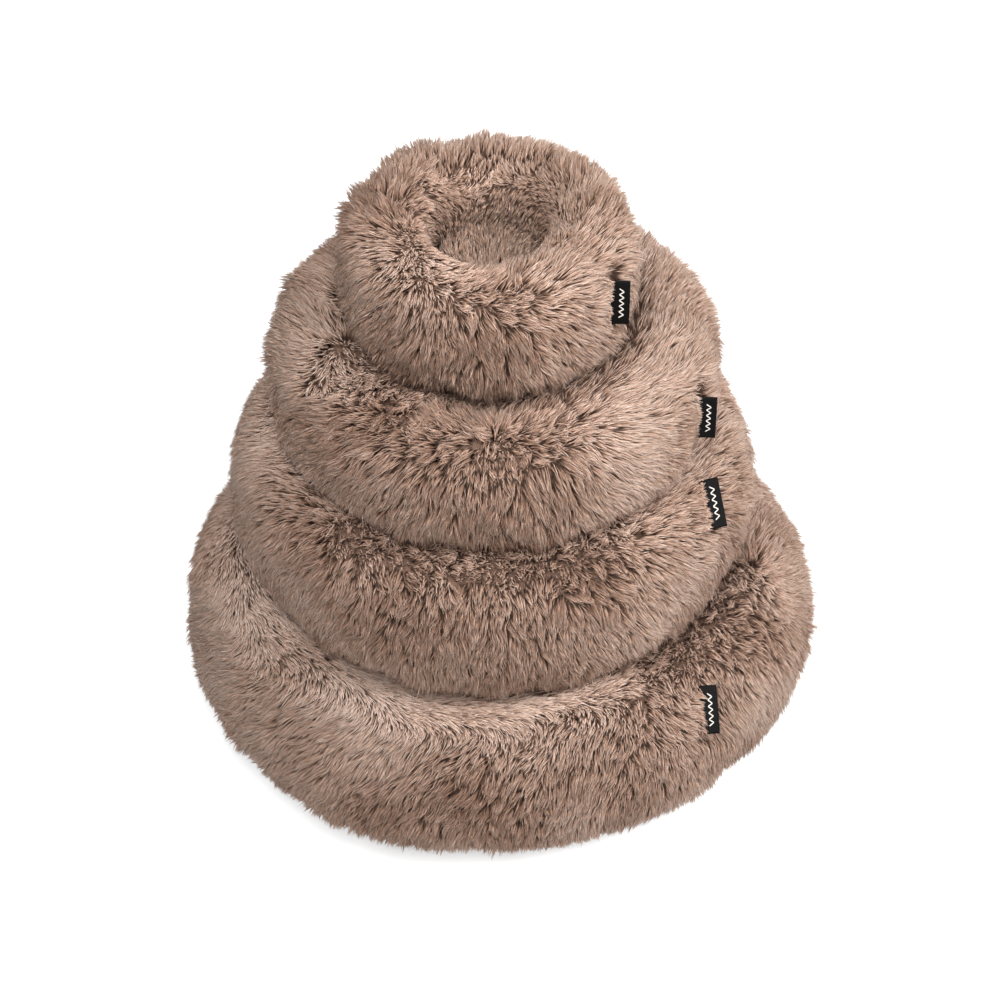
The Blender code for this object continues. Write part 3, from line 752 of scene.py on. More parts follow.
# %% Fold the labels
LABEL_ROOT = 15 * MM
RIBBON_THICKNESS = 0.45 * MM
FOLD_RADIUS = 0.8 * MM
LABEL_BOW = 2.2 * MM
LABEL_CURL = 1.8 * MM
LABEL_ROWS = 25
LABEL_COLUMNS = 14
FOLD_STEPS = 4
RIB_PITCH = 1.2 * MM
ZIGZAG_TURNS = 10
ZIGZAG_PITCH = 4.8 * MM
ZIGZAG_WIDTH = 6.5 * MM
THREAD_WIDTH = 1.9 * MM
THREAD_HEIGHT = 0.35 * MM

satin, tree, shader = new_material("black woven satin ribbon", Roughness=0.5, Specular_IOR_Level=0.08)
uv = add_node(tree, "ShaderNodeUVMap", uv_map="ribbon")
ribs = add_node(tree, "ShaderNodeTexWave", [("Vector", uv.outputs[0])], in_Scale=0.5 / RIB_PITCH,
                bands_direction="Y", in_Distortion=0.4)
dress(tree, shader, ribs.outputs[1], ((0.0, "#040303"), (1.0, "#0e0c0c")), (0.35, 0.0003))

thread, tree, shader = new_material("off-white polyester thread", Roughness=0.55, Sheen_Weight=0.2)
twist = mapped(tree, "ShaderNodeTexNoise", in_Scale=900.0)
dress(tree, shader, twist.outputs[0], ((0.3, "#b9b2aa"), (0.7, "#ece7e1")))


class Label:
    """The frame of a label: the middle of its sewn edge, and directions across, along and out of its face."""

    def __init__(self, bed):
        points = node_points(bed.name + "_side_label")
        middle = (points.max(axis=0) + points.min(axis=0)) / 2
        directions = np.linalg.svd(points - points.mean(axis=0))[2]
        along, across, face = directions[0], directions[1], directions[2]
        self.along = along * np.sign(along[2])
        self.across = across * np.sign(across[0])
        self.face = face * np.sign(-face[1])
        self.length = np.ptp((points - middle) @ self.along)
        self.width = np.ptp((points - middle) @ self.across)
        self.sewn = middle - self.across * self.width / 2
        self.name = bed.name
        grid = rings[bed.name]
        nearest = np.linalg.norm(grid.points - self.sewn, axis=-1).argmin()
        self.inward = -grid.normals.reshape(-1, 3)[nearest]

    def bend(self, across, along):
        """How far the ribbon stands out of its plane."""
        bow = LABEL_BOW * (1 - (2 * along / self.length) ** 2)
        return bow * across / self.width + LABEL_CURL * (across / self.width) ** 3

    def place(self, across, along, out):
        """World points from distances across, along and out of the bent ribbon."""
        free = np.maximum(across, 0.0)
        out = out + self.bend(free, along)
        return (self.sewn + free[..., None] * self.across + along[..., None] * self.along
                + out[..., None] * self.face + np.maximum(-across, 0.0)[..., None] * self.inward)


labels = {bed.name: Label(bed) for bed in beds}
for bed in beds:
    label = labels[bed.name]
    run = np.linspace(-LABEL_ROOT, label.width - FOLD_RADIUS, LABEL_COLUMNS)
    turn = np.linspace(0, np.pi, FOLD_STEPS + 2)[1:-1]
    across = np.concatenate([run, label.width - FOLD_RADIUS + FOLD_RADIUS * np.sin(turn), run[::-1]])
    front = np.full(len(run), FOLD_RADIUS)
    out = np.concatenate([front, FOLD_RADIUS * np.cos(turn), -front])
    along = np.linspace(-label.length / 2, label.length / 2, LABEL_ROWS)
    grid_across, grid_along = np.meshgrid(across, along)
    points = label.place(grid_across, grid_along, np.broadcast_to(out, grid_across.shape))
    columns = len(across)
    quads = [(r * columns + c, r * columns + c + 1, (r + 1) * columns + c + 1, (r + 1) * columns + c)
             for r in range(LABEL_ROWS - 1) for c in range(columns - 1)]
    mesh = poly_mesh(bed.name + "_folded_label", points, quads)
    mesh.shade_smooth()
    unrolled = np.broadcast_to(np.arange(columns) * 2 * MM, grid_along.shape)
    flat = np.stack([unrolled, grid_along], axis=-1).reshape(-1, 2)
    corners = np.array([loop.vertex_index for loop in mesh.loops])
    mesh.uv_layers.new(name="ribbon").data.foreach_set("uv", flat[corners].astype(np.float32).ravel())
    piece = add_piece(bed.name + "_folded_label", mesh, satin, bed.body)
    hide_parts(bed.name + "_side_label")
    wall = piece.modifiers.new("Ribbon", "SOLIDIFY")
    wall.thickness = RIBBON_THICKNESS

    corners = np.arange(ZIGZAG_TURNS + 1)
    along = (corners - ZIGZAG_TURNS / 2) * ZIGZAG_PITCH
    across = label.width * 0.6 + (corners % 2 - 0.5) * ZIGZAG_WIDTH
    low = FOLD_RADIUS + RIBBON_THICKNESS / 2
    offsets = ((-THREAD_WIDTH / 2, low), (THREAD_WIDTH / 2, low), (0.0, low + THREAD_HEIGHT))
    rings_of_thread = [label.place(across, along + shift, np.full(len(along), out)) for shift, out in offsets]
    points = np.stack(rings_of_thread, axis=1).reshape(-1, 3)
    quads = [(3 * k + c, 3 * k + (c + 1) % 3, 3 * k + 3 + (c + 1) % 3, 3 * k + 3 + c)
             for k in range(ZIGZAG_TURNS) for c in range(3)]
    quads += [(2, 1, 0), (3 * ZIGZAG_TURNS, 3 * ZIGZAG_TURNS + 1, 3 * ZIGZAG_TURNS + 2)]
    mesh = poly_mesh(bed.name + "_label_zigzag", points, quads)
    add_piece(bed.name + "_label_zigzag", mesh, thread, bed.body)
print("labels", [f"{label.width / MM:.0f} x {label.length / MM:.0f} mm" for label in labels.values()])

# %% [markdown]
# Fur lies the way it was last brushed. On these beds it falls outwards and down from the crown and into the
# well on the inside. The photo shows more: whorls where hands have been, tufts pressed against each other,
# and long smooth sweeps towards the labels. Each stroke in the table is one such place: its turn from the
# front towards +X, its level as above, and how far the pile is turned from straight down, all in degrees.
# The pile between strokes follows the nearest ones. The second table says where it lies calm, up to 1, and
# where it is ruffled, down to -1. Calm pile is also coloured paler, as painted sheen, and ruffled pile is
# coloured darker, as painted shade in its deeper gaps.

# %% Brush the pile
CROWN_PARTING = math.radians(100)
PARTING_WIDTH = math.radians(14)
BRUSH_WANDER = math.radians(24)
BRUSH_FLICK = math.radians(11)
BRUSH_MESS = math.radians(17)
STROKE_REACH_SHARE = 0.24
LABEL_STROKE_REACH = 28 * MM
PLAIN_WEIGHT = 0.06
FRONT = -math.pi / 2
STROKES = {
    "small": (
        (-113, 67, 45), (-88, 71, 28), (-67, 62, -1), (-155, 93, 31), (-173, 84, 6), (153, 76, -2),
        (113, 67, -40), (87, 106, -75), (77, 76, -65), (-110, 119, 166), (-18, 89, 176), (3, 89, -163),
        (22, 84, -136), (12, 67, -123), (22, 58, -92), (35, 54, -76), (42, 84, -96), (57, 71, -67),
        (17, 41, -66), (28, 23, -45), (12, 23, -25), (43, -11, -33), (-3, 45, -36), (-12, 19, -7),
        (-25, 49, -8), (-38, 45, 19), (-52, 49, 21), (-38, 80, -53), (-23, 76, -68), (-7, 62, -68),
        (0, -24, -4), (20, -20, -27), (-32, 6, 15)),
    "medium": (
        (-72, 61, 47), (-87, 61, 39), (-62, 85, -108), (-53, 94, -111), (-33, 106, -112),
        (-25, 118, -101), (13, 114, -80), (37, 102, -98), (73, 94, -68), (100, 77, -44), (-47, 61, 23),
        (-33, 57, 27), (-50, 28, 54), (-22, 36, 30), (-8, 81, 145), (5, 85, -175), (15, 77, -135),
        (-3, 65, 2), (10, 61, 0), (-12, 57, 19), (20, 61, -11), (-7, 20, 5), (8, 20, 2), (-25, 8, 27),
        (23, 8, -23), (35, 8, -51), (33, 69, -63), (43, 45, -53), (53, 69, -81), (53, 32, -71),
        (77, 45, -90), (-48, -13, 34)),
    "large": (
        (-38, 77, -107), (-38, 69, -18), (-35, 64, -44), (-28, 69, -66), (-45, 73, 83), (-52, 52, 6),
        (-50, 28, 21), (-67, 32, 15), (-40, 23, 11), (-23, 40, -2), (-13, 64, -17), (-5, 73, -13),
        (-15, 23, 5), (-3, 28, 5), (-15, 77, -90), (20, 77, -19), (35, 64, 2), (47, 52, -44),
        (50, 60, -52), (18, 44, -11), (28, 28, -22), (42, 19, -33), (12, 15, -5), (25, 3, -30),
        (37, 44, -25), (8, 69, 2), (2, 44, -1), (75, 40, -65), (-33, 7, 14)),
    "extra_large": (
        (-57, 76, -106), (-37, 80, -92), (-18, 80, -106), (5, 84, -94), (23, 84, -111), (-82, 60, -91),
        (-70, 64, -106), (-75, 44, 44), (-62, 36, 40), (-47, -1, 39), (-40, 48, 29), (-30, 52, 35),
        (-18, 44, 32), (-27, 19, 27), (-10, 52, 38), (-5, 31, 42), (-17, 3, 25), (7, 60, 40),
        (18, 64, 50), (28, 60, 52), (13, 27, 35), (5, 7, 17), (27, 27, 30), (37, 31, 22), (33, 52, -73),
        (47, 88, 103), (45, 72, 55), (48, 72, 19), (52, 84, -149), (55, 68, 32), (47, 27, 1), (55, 15, 0),
        (65, 31, 28), (78, 48, -29), (80, 64, -156), (77, 60, 95), (83, 48, -49), (90, 64, -61),
        (68, 84, 47), (-55, 15, 36), (-38, 11, 32), (-90, 86, -88), (-78, 84, -92), (-66, 88, -94),
        (-48, 90, -94), (-28, 92, -94), (-8, 92, -94)),
}
CALM = {
    "small": (
        (40, 60, 0.7), (60, 30, 0.6), (-5, 62, -0.5), (5, 80, -0.5), (-20, -10, -0.5), (15, 0, -0.2),
        (-50, 20, -0.5), (-80, 40, -0.6), (-100, 60, -0.7), (-125, 80, -0.5), (180, 112, -0.9),
        (140, 75, 0.4), (180, 75, 0.4), (-140, 75, 0.4)),
    "medium": (
        (50, 60, 1.0), (35, 25, 0.8), (75, 60, 0.8), (-70, 60, 0.5), (-10, 72, -1.0), (10, 72, -1.0),
        (-20, 10, -0.5), (5, 15, -0.5), (-45, 20, -0.4), (-40, 92, -0.5), (30, 95, -0.3)),
    "large": (
        (-60, 40, 0.5), (45, 30, 0.4), (-45, 70, -0.8), (-10, 60, -0.6), (15, 60, -0.6), (0, 20, -0.7),
        (-25, 20, -0.6), (25, 20, -0.4), (-20, 88, -0.6), (20, 88, -0.6), (50, 78, -0.4)),
    "extra_large": (
        (-80, 60, 1.0), (-60, 70, 1.0), (-35, 80, 1.0), (-10, 80, 0.7), (15, 80, 0.6), (-65, 30, 0.9),
        (-40, 40, 0.4), (50, 10, 0.7), (33, 60, -0.4), (47, 75, -0.8), (60, 75, -0.6), (-20, -15, -0.6),
        (5, -10, -0.6), (0, 25, -0.6), (-20, 30, -0.4)),
}


def spot(surface, turn, level):
    """The grid point at a turn from the front and a level, both in degrees."""
    away = np.abs((surface.turns - FRONT - math.radians(turn) + np.pi) % (2 * np.pi) - np.pi)
    return surface.points[away.argmin(), np.abs(surface.levels - math.radians(level)).argmin()]


def turned(roots, lean, angle):
    """The directions turned about the surface's normals."""
    return lean * np.cos(angle)[..., None] + np.cross(roots["normals"], lean) * np.sin(angle)[..., None]


def laid(roots, lean):
    """The directions laid into the plane of the surface."""
    return unit(lean - roots["normals"] * (lean * roots["normals"]).sum(axis=-1, keepdims=True))


def brush_ring(surface, roots, seed):
    """Directions in which the pile of a ring leans, and how calm it lies."""
    across, down, points = roots["across"], roots["down"], roots["points"]
    crown = CROWN_PARTING + math.radians(15) * waves(points, 0.3, seed)
    side = np.tanh((crown - roots["level"]) / PARTING_WIDTH)
    plain = down * side[..., None] - across * (1 - side ** 2)[..., None]
    lean = turned(roots, unit(plain), BRUSH_WANDER * waves(points, 0.16, seed + 2)) * PLAIN_WEIGHT
    reach = STROKE_REACH_SHARE * (surface.bed.radius - surface.bed.well) / 2 + 0.02
    for turn, level, direction in STROKES[surface.bed.name]:
        away = np.linalg.norm(points - spot(surface, turn, level), axis=-1)
        weight = np.exp(-(away / reach) ** 2)[..., None]
        angle = math.radians(direction)
        lean = lean + (down * math.cos(angle) + across * math.sin(angle)) * weight
    label = labels[surface.bed.name]
    away = np.linalg.norm(points - label.sewn + 0.01 * label.across, axis=-1)
    lean = lean + label.across * 3 * np.exp(-(away / LABEL_STROKE_REACH) ** 2)[..., None]
    lean = turned(roots, unit(lean), BRUSH_FLICK * waves(points, 0.05, seed + 3))
    calm = 0.3 * waves(points, 0.2, seed + 4) - 0.1
    for turn, level, value in CALM[surface.bed.name]:
        away = np.linalg.norm(points - spot(surface, turn, level), axis=-1)
        calm = calm + value * np.exp(-(away / (1.6 * reach)) ** 2)
    calm = np.clip(calm, -1, 1)
    lean = turned(roots, lean, BRUSH_MESS * np.maximum(-calm, 0) * waves(points, 0.03, seed + 5))
    return laid(roots, lean), calm


def brush_pad(surface, roots, seed):
    """On a pad the pile was stroked one way, with a few turns in it."""
    stroked = np.array((0.5, 1.0, 0.0)) * (1 + 0.3 * waves(roots["points"], 0.12, seed))[..., None]
    lean = laid(roots, 0.4 * roots["down"] + stroked)
    lean = turned(roots, lean, BRUSH_WANDER * waves(roots["points"], 0.10, seed + 1))
    return lean, np.full(lean.shape[:-1], 0.2)


# %% [markdown]
# Roots are spread by area: a cell of the grid is drawn with a chance that grows with its area, and then a
# place inside it. Where the pile parts, its tips would have to cover more than the backing that they grow
# from, so the area that counts lies between that of the roots and that of the tips. Where the bed above
# presses the pile flat, or the pad hides it, fewer strands are needed.

# %% Scatter roots
TIP_REACH = 24 * MM


def cell_areas(grid):
    sides = np.roll(grid, -1, axis=0) - grid
    drops = grid[:, 1:] - grid[:, :-1]
    return np.linalg.norm(np.cross(sides[:, :-1], drops), axis=-1)


def grid_roots(surface, skin):
    """What the pile needs to know at each point of a skin."""
    down = unit(np.gradient(skin, axis=1))
    return {
        "points": skin,
        "normals": surface.normals,
        "down": down,
        "across": unit(np.cross(down, surface.normals)),
        "turn": np.broadcast_to(surface.turns[:, None], skin.shape[:2]),
        "level": np.broadcast_to(surface.levels, skin.shape[:2]),
    }


def scatter(grid, weights, count, draws):
    """Random roots on a skin, where a cell's weight is its chance to hold one."""
    share = np.cumsum(weights.ravel())
    cells = np.minimum(np.searchsorted(share / share[-1], draws.random(count)), share.size - 1)
    column, row = np.divmod(cells, weights.shape[1])
    a, b = draws.random((2, count))
    beside = (column + 1) % weights.shape[0]

    def blend(values):
        s, t = (a[:, None], b[:, None]) if values.ndim == 3 else (a, b)
        near = values[column, row] * (1 - t) + values[column, row + 1] * t
        far = values[beside, row] * (1 - t) + values[beside, row + 1] * t
        return near * (1 - s) + far * s

    roots = {name: blend(grid[name]) for name in ("points", "normals", "down", "across", "level")}
    for name in ("normals", "down", "across"):
        roots[name] = unit(roots[name])
    roots["turn"] = grid["turn"][column, row]
    return roots


# %% [markdown]
# Fibres of such a pile cling together. A lock is two strands that start apart and run to one tip. Locks
# lean in turn towards the lock in the middle of their tuft, first in small tufts and then in large ones,
# which leaves dark gaps between them. A lock's middle line starts steeply at the backing and bends over
# towards where it is brushed. Low on a bed, where the surface faces down, the locks hang away from it. A
# strand is a closed spindle: a point at its root, three corners at its bend and a point at its tip. That is
# six triangles, which is little enough to make seven hundred thousand of them.

# %% Grow strands
STRANDS_PER_LOCK = 2
LOCK_RADIUS = 1.6 * MM
STRAND_LENGTH = 38 * MM
STRAND_WIDTH = 1.4 * MM
STRAND_FLATNESS = 0.7
BEND_SHARE = 0.64
LINE_STEPS = 6
ROOT_LEAN = math.radians(30)
TIP_LEAN = math.radians(79)
GATHER = 0.6
TUFT_SIZES = (4, 36)
TUFT_PULLS = (0.66, 0.36)
TUFT_CALMED = 0.75
HANG_LEVEL = math.radians(45)
HANG_TURN = math.radians(24)
WILD_CALMED = 0.6
SWAY = 0.25
START_SPREAD = 0.2
END_SPREAD = 0.15
CALM_START = 0.4
CALM_END = 0.16
RUFFLED_END = 0.4
MOST_LEAN = math.pi / 2 + 0.12


def lock_lines(roots, lean, calm, length, flat, draws):
    """Middle lines of the locks: an array of stations for each root."""
    count = len(length)
    wild = 1 - WILD_CALMED * calm
    sway = unit(np.cross(roots["normals"], lean)) * (draws.normal(0, SWAY, count) * wild)[:, None]
    start = ROOT_LEAN + CALM_START * np.maximum(calm, 0) + draws.normal(0, START_SPREAD, count) * wild
    start += flat * (math.pi / 2 - ROOT_LEAN) * 0.8 - HANG_TURN / 2 * roots["hang"]
    end = TIP_LEAN + np.where(calm > 0, CALM_END, RUFFLED_END) * calm
    end += draws.normal(0, END_SPREAD, count) * wild
    end += flat * (math.pi / 2 - TIP_LEAN)
    end -= HANG_TURN * roots["hang"]
    end = np.minimum(end, MOST_LEAN)
    place = roots["points"].copy()
    lines = [place]
    for k in range(LINE_STEPS):
        share = (k + 0.5) / LINE_STEPS
        angle = (start + (end - start) * share ** 0.8)[:, None]
        step = roots["normals"] * np.cos(angle) + lean * np.sin(angle) + sway * (share - 0.4)
        place = place + unit(step) * (length / LINE_STEPS)[:, None]
        lines.append(place)
    lines = np.stack(lines, axis=1)

    shares = (np.linspace(0, 1, LINE_STEPS + 1) ** 1.5)[None, :, None]
    for size, pull in zip(TUFT_SIZES, TUFT_PULLS):
        centres = np.arange(0, count, size)
        tree = KDTree(len(centres))
        for centre in centres:
            tree.insert(roots["points"][centre], centre)
        tree.balance()
        nearest = np.array([tree.find(point)[1] for point in roots["points"].tolist()])
        pulls = pull * (1 - TUFT_CALMED * calm) * draws.uniform(0.5, 1.3, count)
        pulls = np.clip(pulls, 0.0, 0.92) * (1 - flat)
        lines = lines + (lines[nearest] - lines) * pulls[:, None, None] * shares
    return lines


def at_share(lines, share):
    """Points on the lines at a share of their length, one share for each line."""
    place = np.clip(share, 0, 1) * LINE_STEPS
    k = np.minimum(place.astype(int), LINE_STEPS - 1)
    t = (place - k)[:, None]
    index = np.arange(len(lines))
    return lines[index, k] * (1 - t) + lines[index, k + 1] * t


def spindles(root, bend, tip, normals, draws):
    """Corner points of strands from their roots over their bends to their tips."""
    count = len(root)
    forward = unit(tip - root)
    flatwise = unit(np.cross(normals, forward))
    upright = np.cross(forward, flatwise)
    roll = draws.uniform(0, 2 * np.pi, count)
    width = STRAND_WIDTH / 2 * draws.uniform(0.75, 1.2, count)
    corners = [root]
    for corner in range(3):
        turn = roll + corner * 2 * np.pi / 3
        offset = flatwise * np.cos(turn)[:, None] + upright * np.sin(turn)[:, None] * STRAND_FLATNESS
        corners.append(bend + offset * width[:, None])
    corners.append(tip)
    return np.stack(corners, axis=1)


def strands_of(roots, lean, lines, cut, tones, draws):
    """Corner points and tones of all strands: the locks' lines, spread at the root, gathered at the tip."""
    many = np.repeat(np.arange(len(lines)), STRANDS_PER_LOCK)
    count = len(many)
    radius = LOCK_RADIUS * np.sqrt(draws.random(count))
    angle = draws.uniform(0, 2 * np.pi, count)
    side = np.cross(roots["normals"], lean)[many]
    spread = (lean[many] * np.cos(angle)[:, None] + side * np.sin(angle)[:, None]) * radius[:, None]
    ends = cut[many] * draws.uniform(0.55, 1.0, count)
    bends = BEND_SHARE + draws.uniform(-0.08, 0.08, count)
    root = lines[many, 0] + spread
    bend = at_share(lines[many], ends * bends) + spread * (1 - GATHER * bends)[:, None]
    tip = at_share(lines[many], ends) + spread * (1 - GATHER)
    tones = np.clip(tones[many] + draws.normal(0, 0.1, count), 0.02, 0.98)
    return spindles(root, bend, tip, roots["normals"][many], draws), tones


# %% [markdown]
# The meshes are filled from arrays, because millions of corners are far too many to add one by one. All
# strands have the same faces, so the list of corners of one strand is repeated with an offset.

# %% Turn strands into meshes
STRAND_FACES = np.array([(0, 2, 1), (0, 3, 2), (0, 1, 3), (1, 2, 4), (2, 3, 4), (3, 1, 4)])
# v runs from root to tip and places each corner on the painted root shade.
STRAND_V = np.array((0, BEND_SHARE, BEND_SHARE, BEND_SHARE, 1))
STRAND_U = np.array((0, -1, 0, 1, 0)) * 0.002


def strand_mesh(name, corners, tones):
    count, per_strand = corners.shape[:2]
    mesh = bpy.data.meshes.new(name)
    mesh.vertices.add(count * per_strand)
    mesh.vertices.foreach_set("co", corners.astype(np.float32).ravel())
    loops = (STRAND_FACES.ravel()[None, :] + np.arange(count)[:, None] * per_strand).ravel()
    mesh.loops.add(len(loops))
    mesh.loops.foreach_set("vertex_index", loops.astype(np.int32))
    mesh.polygons.add(len(loops) // 3)
    mesh.polygons.foreach_set("loop_start", np.arange(0, len(loops), 3, dtype=np.int32))
    mesh.update(calc_edges=True)
    uv = np.stack([tones[:, None] + STRAND_U, np.broadcast_to(STRAND_V, (count, per_strand))], axis=-1)
    uv = uv.reshape(-1, 2)[loops].astype(np.float32)
    mesh.uv_layers.new(name=FUR_UV).data.foreach_set("uv", uv.ravel())
    mesh.shade_smooth()
    return mesh


# %% [markdown]
# The pile stops short of four things. Under the next bed it is pressed flat, below the cloth of that bed.
# Along the zip it leaves a channel, the pile above leans out over it, and a strand that would still cross
# the slider's track is left out. In front of a label the pile is cut short, but for the ragged tips that
# hang over the sewn edge. And at the floor it bends instead of going through.

# %% Say where the pile stops
PRESSED_MARGIN = 6 * MM
ZIP_MARGIN = 1 * MM
ZIP_RAMP = 12 * MM
SLIDER_SPACE = 9 * MM
TRACK_HALF_WIDTH = 6 * MM
TRACK_RISE = 6.5 * MM
TRACK_STEPS = 9
LABEL_SIGHT = 45 * MM
LABEL_FRINGE = {"small": 6 * MM, "medium": 6 * MM, "large": 8 * MM, "extra_large": 11 * MM}
LABEL_MARGIN = 1.5 * MM
LABEL_RAMP = 16 * MM
LABEL_CLEARANCE = 2.5 * MM


def pressed_share(bed, points):
    """How far the bed above flattens the pile at these points, from 0 to 1."""
    if bed.above is None:
        return np.zeros(points.shape[:-1])
    distance = np.linalg.norm((points - bed.above.axis)[..., :2], axis=-1)
    under = np.clip((bed.above.base_radius + PRESSED_MARGIN - distance) / PRESSED_MARGIN, 0, 1)
    return under * (points[..., 2] > bed.above.floor - 2.2 * PILE_HEIGHT)


def in_zip(bed, points):
    """Whether points are in the channel that is kept free for the zip and its slider."""
    zipper = zips[bed.name]
    along, across, out = zipper.around(points)
    behind = np.abs(along) < zipper.length / 2 + ZIP_MARGIN
    return behind & (np.abs(across) < zipper.width / 2 + ZIP_MARGIN) & (out < SLIDER_SPACE)


def over_edge(label, lines):
    """Lines that start beside a label's sewn edge, lifted so that they pass over it."""
    away = lines - label.sewn
    across, along, out = away @ label.across, away @ label.along, away @ label.face
    beside = (across[:, :1] < 0) & (np.abs(along) < label.length / 2 + LABEL_MARGIN) & (out > -LABEL_SIGHT)
    ramp = np.clip(across / LABEL_RAMP + 1, 0, 1) * (across < label.width)
    rise = np.maximum(LABEL_CLEARANCE + label.bend(np.maximum(across, 0), along) - out, 0)
    return lines + (rise * ramp * beside)[..., None] * label.face


def over_zip(bed, lines):
    """Lines that start above the zip, pushed outwards so that they hang over it and its slider."""
    zipper = zips[bed.name]
    along, across, out = zipper.around(lines)
    edge = zipper.width / 2 + ZIP_MARGIN
    behind = np.abs(along) < zipper.length / 2 + ZIP_RAMP
    ramp = np.clip(1 - (np.abs(across) - edge) / ZIP_RAMP, 0, 1) * behind * (across[:, :1] > edge)
    push = np.maximum(SLIDER_SPACE + ZIP_MARGIN - out, 0) * ramp
    push[:, 0] = 0
    return lines + push[..., None] * unit((lines - bed.axis) * (1, 1, 0))


def in_track(bed, corners):
    """Which strands pass through the track of the zip's slider anywhere between root, bend and tip."""
    zipper = zips[bed.name]
    stations = np.stack([corners[:, 0], corners[:, 1:4].mean(axis=1), corners[:, 4]], axis=1)
    crossing = np.zeros(len(corners), bool)
    for share in np.linspace(0, 1, TRACK_STEPS):
        along, across, out = zipper.around(stations[:, :-1] * (1 - share) + stations[:, 1:] * share)
        inside = (np.abs(along) < zipper.length / 2 + ZIP_MARGIN) & (np.abs(across) < TRACK_HALF_WIDTH)
        inside &= (out > -2 * ZIP_MARGIN) & (out < TRACK_RISE)
        crossing |= inside.any(axis=1)
    return crossing


def over_label(label, points):
    """Whether points are in the label or in front of it, past the fringe of tips at its sewn edge."""
    away = points - label.sewn
    across, along, out = away @ label.across, away @ label.along, away @ label.face
    ragged = waves(points[:, :1] * (0, 0, 1), 0.022, 3)
    fringe = np.where(across[:, :1] < 0, LABEL_FRINGE[label.name] * (1 + 0.3 * ragged), 0.0)
    inside = (np.abs(along) < label.length / 2 + LABEL_MARGIN) & (across < label.width + LABEL_MARGIN)
    return inside & (across > fringe) & (out > -2 * LABEL_MARGIN) & (out < LABEL_SIGHT)


def cut_share(bed, lines):
    """At what share of its length each line stops."""
    blocked = in_zip(bed, lines) | over_label(labels[bed.name], lines)
    first = np.where(blocked.any(axis=1), blocked.argmax(axis=1) - 0.5, LINE_STEPS)
    return np.maximum(first, 0.0) / LINE_STEPS


# %% [markdown]
# Now the rings and pads are covered. A ring's fur is split into sectors, so that no mesh grows too large
# for other programs.

# %% Cover the rings and pads with fur
LOCKS_PER_M2 = 128000
HIDDEN_CHANCE = 0.3
DENSITY = 1.0
FUR_SECTORS = {"extra_large": 12, "large": 9, "medium": 7, "small": 5}
WELL_LENGTH_SHARE = 0.6
PAD_LENGTH_SHARE = 0.9
CALM_SHEEN_AND_GAP_SHADE = 0.25
CALM_LENGTH = 0.2
FLOOR_TRIM = 0.4


def cover_with_fur(name, surface, skin, brush, chance, seed, sectors):
    bed = surface.bed
    draws = np.random.default_rng(seed)
    grid = grid_roots(surface, skin)
    tips = skin + brush(surface, grid, seed)[0] * TIP_REACH
    weights = (cell_areas(skin) + 2 * cell_areas(tips)) / 3 * chance
    count = int(weights.sum() * LOCKS_PER_M2 * DENSITY)
    roots = scatter(grid, weights, count, draws)
    lean, calm = brush(surface, roots, seed)
    flat = pressed_share(bed, roots["points"])
    uneven = 1 + 0.10 * waves(roots["points"], 0.09, seed + 7)
    length = STRAND_LENGTH * uneven * draws.normal(1, 0.12, count)
    inside = np.linalg.norm((roots["points"] - bed.axis)[:, :2], axis=1) < bed.core * 0.9
    length *= np.where(inside, WELL_LENGTH_SHARE if sectors > 1 else PAD_LENGTH_SHARE, 1.0)
    length *= 1 + CALM_LENGTH * np.maximum(calm, 0)
    roots["hang"] = np.clip(-roots["level"] / HANG_LEVEL, 0, 1)
    if bed is beds[0]:
        length *= 1 - FLOOR_TRIM * roots["hang"]
        roots["hang"] *= 0.3
    lines = over_edge(labels[bed.name], lock_lines(roots, lean, calm, length, flat, draws))
    lines = over_zip(bed, lines)
    tones = 0.5 + 0.19 * draws.normal(size=count)
    tones += 0.07 * waves(roots["points"], 0.12, seed + 8)
    # Painted sheen and shade: calm pile is coloured paler and ruffled pile darker.
    tones += CALM_SHEEN_AND_GAP_SHADE * calm
    corners, tones = strands_of(roots, lean, lines, cut_share(bed, lines), tones, draws)
    turns = np.repeat(roots["turn"], STRANDS_PER_LOCK)
    if bed.above is not None:
        distance = np.linalg.norm((corners - bed.above.axis)[..., :2], axis=-1)
        seat = bed.above.floor - 1.0 * MM
        under = distance < bed.above.base_radius
        corners[..., 2] = np.where(under, np.minimum(corners[..., 2], seat), corners[..., 2])
    corners[..., 2] = np.maximum(corners[..., 2], cad_low.z + 0.5 * MM)
    free = ~in_track(bed, corners)
    corners, tones, turns = corners[free], tones[free], turns[free]
    for sector in range(sectors):
        inside = (turns % (2 * np.pi)) * sectors // (2 * np.pi) == sector
        title = f"{name}_{sector + 1}" if sectors > 1 else name
        add_piece(title, strand_mesh(title, corners[inside], tones[inside]), fur, bed.body)
    triangles = len(corners) * len(STRAND_FACES)
    print(name, count, "locks", triangles, "triangles in", sectors)
    return triangles


triangles = 0
for number, bed in enumerate(beds):
    skin = skins[bed.name]
    middle = (skin[:, :-1] + skin[:, 1:]) / 2
    distance = np.linalg.norm((middle - bed.axis)[..., :2], axis=-1)
    deep = (middle[..., 2] < bed.pad_top - PILE_HEIGHT) & (distance < bed.core)
    hidden = pressed_share(bed, middle) > 0.5
    if bed.above is not None:
        hidden |= distance < bed.core
    chance = np.where(hidden, HIDDEN_CHANCE, 1.0) * ~deep
    triangles += cover_with_fur(bed.name + "_ring_fur", rings[bed.name], skin, brush_ring, chance,
                                100 + number, FUR_SECTORS[bed.name])
    chance = np.full((PAD_GRID[0], PAD_GRID[1] - 1), 1.0 if bed.above is None else HIDDEN_CHANCE)
    triangles += cover_with_fur(bed.name + "_pad_fur", pads[bed.name], pad_skins[bed.name], brush_pad, chance,
                                200 + number, 1)
print("fur triangles", triangles)

# %% [markdown]
# The studio is a white floor under soft light. The main lamp is large and high in front of the stack. A
# second one stands to its right, the side that is brightest in the photo, and a weak one behind keeps the
# backs from going black. The white around the stack comes from what the camera sees of the world, and not
# from more light on the beds.

